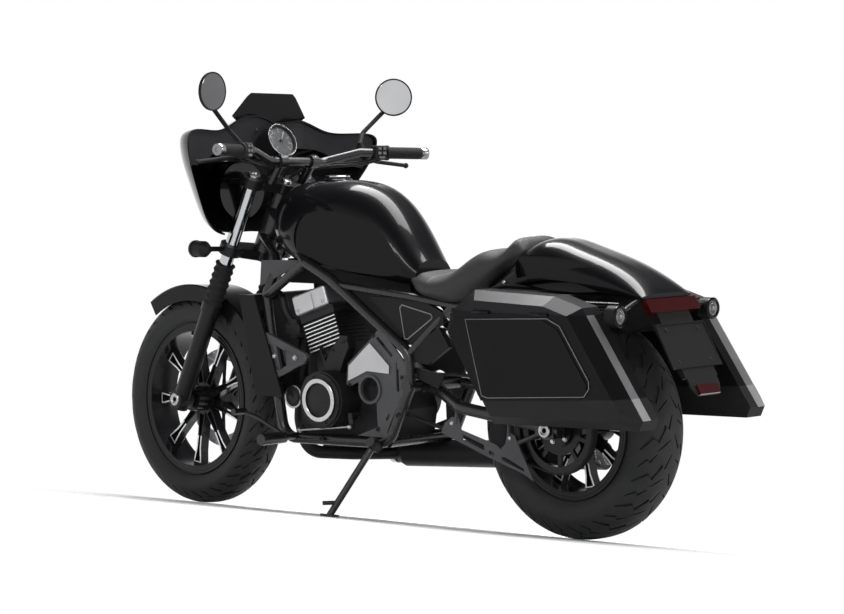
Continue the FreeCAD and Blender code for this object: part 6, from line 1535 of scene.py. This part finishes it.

# %% [markdown]
# The side cover carries a raised triangular rim round a bare field, and each pannier's panel is
# outlined by a fine raised line in light grey, a painted highlight along the panel's edge. Both follow
# their corners at an even width, so one function finds the inner outline: every corner moves along the
# line that halves its angle.

# %% Side cover rim and pannier panel highlight line
COVER_CORNERS = [(570, 640), (561, 649), (450, 626), (443, 617), (448, 609), (540, 548), (552, 549)]
PANEL_CORNERS = [(160, 633), (-133, 646), (-178, 627), (-279, 481), (-279, 459), (-261, 437), (82, 417),
                 (103, 423)]
# Each line has a name, its corners, its width and how far out its two faces lie.
# The pannier panel line is light grey: a painted highlight along the panel's edge.
RAISED_LINES = (("side_cover_rim_", COVER_CORNERS, 3.2, 133.8, 135.6),
                ("pannier_panel_line_", PANEL_CORNERS, 1.8, 320.0, 321.9))


def drawn_in(corners, width):
    middle = sum((Vector(c) for c in corners), Vector((0, 0))) / len(corners)
    inner = []
    for k, corner in enumerate(corners):
        here = Vector(corner)
        before, after = Vector(corners[k - 1]), Vector(corners[(k + 1) % len(corners)])
        pull = (before - here).normalized() + (after - here).normalized()
        pull = pull.normalized() if pull.length > 0.05 else (middle - here).normalized()
        if pull.dot(middle - here) < 0:
            pull.negate()
        inner.append(tuple(here + pull * width))
    return inner


for name, corners, width, near, far in RAISED_LINES:
    for word, side in SIDES:
        low, high = sorted((side * near, side * far))
        rim = flat_rim(corners, drawn_in(corners, width), low, high)
        settle(name + word, rim, upright_mm, "chassis", "edge_grey")
print("raised lines drawn")

# %% [markdown]
# The gear linkage is a slim bright rod between two ball joints, and a small arm on a shaft. It hangs
# just outside the engine, where the light catches it.

# %% Gear linkage
ROD_Y = 170.0
ROD_ROUTE = [(930, ROD_Y, 268), (835, ROD_Y, 278), (740, ROD_Y, 288)]
BALL = [(-7, 0.3), (-7, 4.5), (-4, 7.0), (0, 8.2), (4, 7.0), (7, 4.5), (7, 0.3)]
BALL_SPOTS = ((936, 267.5), (736, 288.4))
ARM_OUTLINE = [(728, 282), (744, 281), (752, 322), (736, 330)]
SHAFT_ROUTE = [(743, 120, 322), (743, 140, 322), (743, 164, 322)]
balls = []
for x, z in BALL_SPOTS:
    balls.append(lathe(BALL, 20))
    balls[-1].transform(Matrix.Translation((x, ROD_Y, z)))
lever = [flat_plate(ARM_OUTLINE, 158.0, 163.0, 0.8), along_path(SHAFT_ROUTE, 6.0, 16, 2)]
settle("shift_rod", along_path(ROD_ROUTE, 3.2, 12, 2), upright_mm, "chassis", "bolt_silver")
settle("shift_rod_ends", join_meshes(balls), upright_mm, "chassis", "bolt_silver")
settle("shift_lever", join_meshes(lever), upright_mm, "chassis", "bolt_black")
print("gear linkage hung")

# %% [markdown]
# The bars carry rubber grips with fine ribs, bright bar ends and small rocker switches on the two
# housings. A grip is one turned profile with its ribs in it. The switches are plates with eased
# edges, drawn flat on axes that follow the bar.

# %% Grips and switches
GRIP_START = Vector((1017.2, 290.0, 1080.5))
GRIP_END = Vector((971.1, 418.0, 1080.5))
GRIP_LENGTH = 104.0
GRIP_RADIUS = 17.0
GRIP_RIB = 5.0
GRIP_GAP = 8.0
BAR_END_INSET = 21.0
HOUSING_BACK = 21.0
# How far the rockers start and end from the bar's axis, and how far their edges are eased.
ROCKER_NEAR = 18.4
ROCKER_FAR = 22.6
ROCKER_EASE = 1.3
# The dark line between the two shells of a housing: its outline, and half its depth.
SPLIT = rectangle(-21.4, 5.0, 21.4, 6.2)
SPLIT_HALF_DEPTH = 19.3
BAR_END = [(0.0, 14.0), (0.0, 17.4), (2.0, 18.2), (19.0, 18.2), (22.5, 16.0), (23.0, 7.0), (21.0, 6.0),
           (21.0, 0.3), (0.0, 0.3)]
# A rocker's middle along the bar and upwards, its width and its height.
ROCKERS = ((-9, 13, 11, 8), (7, 13, 11, 8), (-9, -1, 11, 9), (7, -1, 11, 9), (-1, -14, 20, 7))


def ribbed_grip(length, radius):
    profile = [(0.0, radius - 3.0), (0.0, radius + 0.3)]
    for k in range(math.ceil((length - 6.0) / GRIP_RIB)):
        y = k * GRIP_RIB
        profile += [(y + 1.6, radius + 0.9), (y + 3.4, radius + 0.9)]
        profile += [(y + 4.0, radius + 0.2), (y + 5.0, radius + 0.2)]
    profile += [(length, radius + 0.3), (length, radius - 3.0)]
    return lathe(profile, 28)


for word, side in SIDES:
    start, end = (Vector(spot) for spot in mirrored([GRIP_START, GRIP_END], side))
    along = (end - start).normalized()
    back = Vector((-abs(along.y), -side * abs(along.x), 0))
    housing_turn = Matrix((along * side, back, Vector(UP))).transposed().to_4x4()
    housing_place = shifted(steered_mm, *(start - along * HOUSING_BACK)) @ housing_turn
    outlines = [rectangle(x - w / 2, z - h / 2, x + w / 2, z + h / 2) for x, z, w, h in ROCKERS]
    rockers = [flat_plate(outline, ROCKER_NEAR, ROCKER_FAR, ROCKER_EASE) for outline in outlines]
    split = flat_plate(SPLIT, -SPLIT_HALF_DEPTH, SPLIT_HALF_DEPTH)
    grip_place = steered_mm @ aimed(start + along * GRIP_GAP, along)
    bar_end_place = steered_mm @ aimed(end - along * BAR_END_INSET, along)
    settle("grip_" + word, ribbed_grip(GRIP_LENGTH, GRIP_RADIUS), grip_place, "steering", "rubber")
    settle("bar_end_" + word, lathe(BAR_END, 36), bar_end_place, "steering", "bar_end")
    settle("switches_" + word, join_meshes(rockers), housing_place, "steering", "switch_grey")
    settle("housing_split_" + word, split, housing_place, "steering", "bolt_black")
print("bars dressed")

# %% [markdown]
# Cables run from both housings to the steering head, two wires leave the dial and a hose goes down
# the fork to the brake. Each is a short wire drawn through a few points, chosen so that it clears the
# tank when the bars turn.

# %% Cables, wires and hose
CABLE_ROUTES = [
    [(1032, 262, 1061), (1050, 228, 1052), (1082, 165, 1046), (1122, 105, 1042), (1160, 52, 1022),
     (1180, 30, 985)],
    [(1062, 250, 1052), (1076, 222, 1044), (1094, 160, 1040), (1128, 96, 1034), (1166, 44, 1010),
     (1184, 24, 975)],
    [(1024, 276, 1060), (1034, 236, 1046), (1066, 165, 1038), (1116, 92, 1032), (1158, 40, 1012),
     (1176, 22, 980)],
]
WIRE_ROUTES = [
    [(1092, 40, 1030), (1126, 30, 1046), (1160, 14, 1030), (1174, 6, 1000), (1166, 0, 960)],
    [(1092, -40, 1030), (1130, -30, 1040), (1158, -16, 1022), (1170, -8, 990), (1160, -4, 955)],
]
HOSE_ROUTE = [(-30, -70, 506), (10, -92, 470), (30, -118, 400), (26, -118, 300), (30, -112, 200),
              (22, -98, 130)]
cables = [along_path(mirrored(route, side), 3.0, 10, 8) for word, side in SIDES for route in CABLE_ROUTES]
wires = [along_path(route, 3.4, 10, 8) for route in WIRE_ROUTES]
settle("bar_cables", join_meshes(cables), steered_mm, "steering", "cable_black")
settle("dial_wires", join_meshes(wires), steered_mm, "steering", "cable_black")
settle("front_brake_hose", along_path(HOSE_ROUTE, 3.6, 12, 8), fork_mm, "steering", "cable_black")
print("cables drawn:", len(cables) + len(wires) + 1)

# %% [markdown]
# Bolts on the riser clamps and the levers' pivots are the last things on the bars.

# %% Bar screws
bar_screws = []
for word, side in SIDES:
    bar_screws += [(1094 + ahead, side * 62, 1064, UP, 4.0) for ahead in (-12.0, 12.0)]
    bar_screws.append((1069.4, side * 251.6, 1075.0, UP, 5.0))
heads("bar_screws", SOCKET, bar_screws, steered_mm, "steering", "bolt_silver")
print("bar screws:", len(bar_screws))

# %% [markdown]
# The tank's filler has a raised collar and a chromed lip round the black cap, with a small lock.

# %% Filler cap
FILLER_X = 930.0
COLLAR_BASE = 999.0
CAP_TOP = 1007.0
COLLAR = [(-3.0, 36.5), (-3.0, 43.0), (1.0, 42.0), (2.5, 39.5), (2.0, 36.5)]
LIP = [(0.0, 31.5), (0.0, 36.4), (2.2, 36.4), (3.6, 34.6), (2.8, 31.5)]
LOCK = [(0.0, 0.3), (0.0, 12.0), (2.6, 11.4), (3.0, 5.0), (2.0, 4.6), (2.0, 0.3)]
for name, profile, steps, height, slot in (("filler_collar", COLLAR, 56, COLLAR_BASE, "gloss_black"),
                                           ("filler_lip", LIP, 56, CAP_TOP, "chrome"),
                                           ("filler_lock", LOCK, 32, CAP_TOP, "bolt_silver")):
    settle(name, lathe(profile, steps), shifted(upright_mm, FILLER_X, 0, height) @ STAND_UP, "chassis", slot)
print("filler capped")

# %% [markdown]
# The seat is foam under a stretched cover. Its solid in the frame has the right outline but a hard
# surface, so the cover is made the way foam fills a cover: the solid is remeshed evenly, drawn in a
# little, and blown up from inside by a cloth simulation, with a cap on how far any point may go.
# The hump sits a little lower than its solid, as a rider has pressed it down.

# %% Seat foam
SEAT_MERGE = 1e-5
SEAT_VOXEL = 0.006
SEAT_SETTLING = 22
SEAT_DRAW_IN = 0.003
SEAT_CAP = 0.004
SEAT_QUALITY = 4
SEAT_PRESSURE = 4.0
SWELL_FRAMES = 20
HUMP_FROM = 700.0
HUMP_SHARE = 0.86


def baked(pad):
    """The mesh that an object's modifiers make of it."""
    graph = bpy.context.evaluated_depsgraph_get()
    mesh = bpy.data.meshes.new_from_object(pad.evaluated_get(graph))
    pad.modifiers.clear()
    return mesh


def blown_points(pad):
    """Where the cloth simulation takes each point of the pad."""
    cloth = pad.modifiers.new("swell", "CLOTH")
    cloth.settings.quality = SEAT_QUALITY
    cloth.settings.use_pressure = True
    cloth.settings.uniform_pressure_force = SEAT_PRESSURE
    cloth.settings.effector_weights.gravity = 0.0
    cloth.point_cache.frame_end = SWELL_FRAMES
    scene = bpy.context.scene
    for number in range(1, SWELL_FRAMES + 1):
        scene.frame_set(number)
    graph = bpy.context.evaluated_depsgraph_get()
    blown = [v.co.copy() for v in pad.evaluated_get(graph).to_mesh().vertices]
    pad.modifiers.clear()
    scene.frame_set(1)
    return blown


def swell(source):
    """A copy of a solid's mesh, remeshed and blown up like a cushion."""
    mesh = source.copy()
    work = bmesh.new()
    work.from_mesh(mesh)
    bmesh.ops.remove_doubles(work, verts=work.verts, dist=SEAT_MERGE)
    work.to_mesh(mesh)
    work.free()
    pad = bpy.data.objects.new("seat_pad", mesh)
    bpy.context.scene.collection.objects.link(pad)
    remesh = pad.modifiers.new("even", "REMESH")
    remesh.mode = "VOXEL"
    remesh.voxel_size = SEAT_VOXEL
    pad.data = baked(pad)
    smooth = pad.modifiers.new("settle", "SMOOTH")
    smooth.iterations = SEAT_SETTLING
    pad.data = baked(pad)
    home = upright_mm.inverted()
    normals = [v.normal.copy() for v in pad.data.vertices]
    for v, normal in zip(pad.data.vertices, normals):
        v.co -= normal * SEAT_DRAW_IN
        spot = home @ v.co
        if spot.z > HUMP_FROM:
            spot.z = HUMP_FROM + (spot.z - HUMP_FROM) * HUMP_SHARE
            v.co = upright_mm @ spot
    rest = [v.co.copy() for v in pad.data.vertices]
    puffed = blown_points(pad)
    for v, was, now in zip(pad.data.vertices, rest, puffed):
        move = now - was
        if move.length > SEAT_CAP:
            move = move.normalized() * SEAT_CAP
        v.co = was + move
    subdivide = pad.modifiers.new("finer", "SUBSURF")
    subdivide.levels = 1
    subdivide.render_levels = 1
    fine = baked(pad)
    bpy.data.objects.remove(pad)
    return fine


# %% [markdown]
# The sewn ribs and seams are pressed in afterwards, because the remeshing would wipe them out. Each
# is a soft groove at some distance from a line: bowed ribs across the rider's part, a seam down each
# edge and a crease where the two parts of the seat meet.

# %% Seat ribs and seams
RIB_FIRST = 470.0
RIB_LAST = 566.0
RIB_PITCH = 16.0
RIB_BOW = 0.0011
RIB_HALF_WIDTH = 78.0
RIB_DEPTH = 2.6
RIB_FACING = 0.3
RIB_FADE = 12.0
SEAM_WIDTH = 2.6
FRONT_SEAM = {"from": 430.0, "to": 590.0, "half_width": 92.0, "taper": -0.10, "depth": 2.2}
REAR_SEAM = {"from": 150.0, "to": 436.0, "half_width": 66.84, "taper": 0.06, "depth": 1.8}
SEAM_FACING = -0.2
CREASE_X = 436.0
CREASE_SLANT = 0.10
CREASE_ABOVE = 690.0
CREASE_DEPTH = 2.8


def groove(distance, width, depth):
    return depth * math.exp(-(distance / width) ** 2)


def rib_depth(x, y, facing_up):
    reach = abs(y)
    over = RIB_FIRST - 8 < x < RIB_LAST + 8 and reach < RIB_HALF_WIDTH + 10
    step = (x + RIB_BOW * y * y - RIB_FIRST) / RIB_PITCH
    if not over or facing_up <= RIB_FACING or not -0.5 < step < (RIB_LAST - RIB_FIRST) / RIB_PITCH + 0.5:
        return 0.0
    fade = max(0.0, min(1.0, (RIB_HALF_WIDTH + RIB_FADE / 2 - reach) / RIB_FADE))
    return groove(abs(step - round(step)) * RIB_PITCH, SEAM_WIDTH * 1.3, RIB_DEPTH) * fade


def seam_depth(x, y, facing_up, seam):
    if not seam["from"] < x < seam["to"] or facing_up <= SEAM_FACING:
        return 0.0
    edge = seam["half_width"] + seam["taper"] * (x - seam["from"])
    return groove(abs(y) - edge, SEAM_WIDTH, seam["depth"])


def sew(mesh):
    """Presses the ribs and seams into the cover, in upright millimetres."""
    mesh.transform(upright_mm.inverted())
    mesh.update()
    normals = [v.normal.copy() for v in mesh.vertices]
    for v, n in zip(mesh.vertices, normals):
        x, y, z = v.co
        deep = rib_depth(x, y, n.z) + seam_depth(x, y, n.z, FRONT_SEAM) + seam_depth(x, y, n.z, REAR_SEAM)
        if z > CREASE_ABOVE:
            deep += groove(x - (CREASE_X + CREASE_SLANT * abs(y)), SEAM_WIDTH * 1.2, CREASE_DEPTH)
        v.co -= n * deep
    mesh.transform(upright_mm)
    mesh.shade_smooth()
    return mesh


seat_cover = sew(swell(nodes["seat"].data))
seat = settle("seat_cushion", seat_cover, Matrix.Identity(4), "chassis", "seat_leather", ["seat"])
print("seat cover", len(seat.data.polygons), "faces")
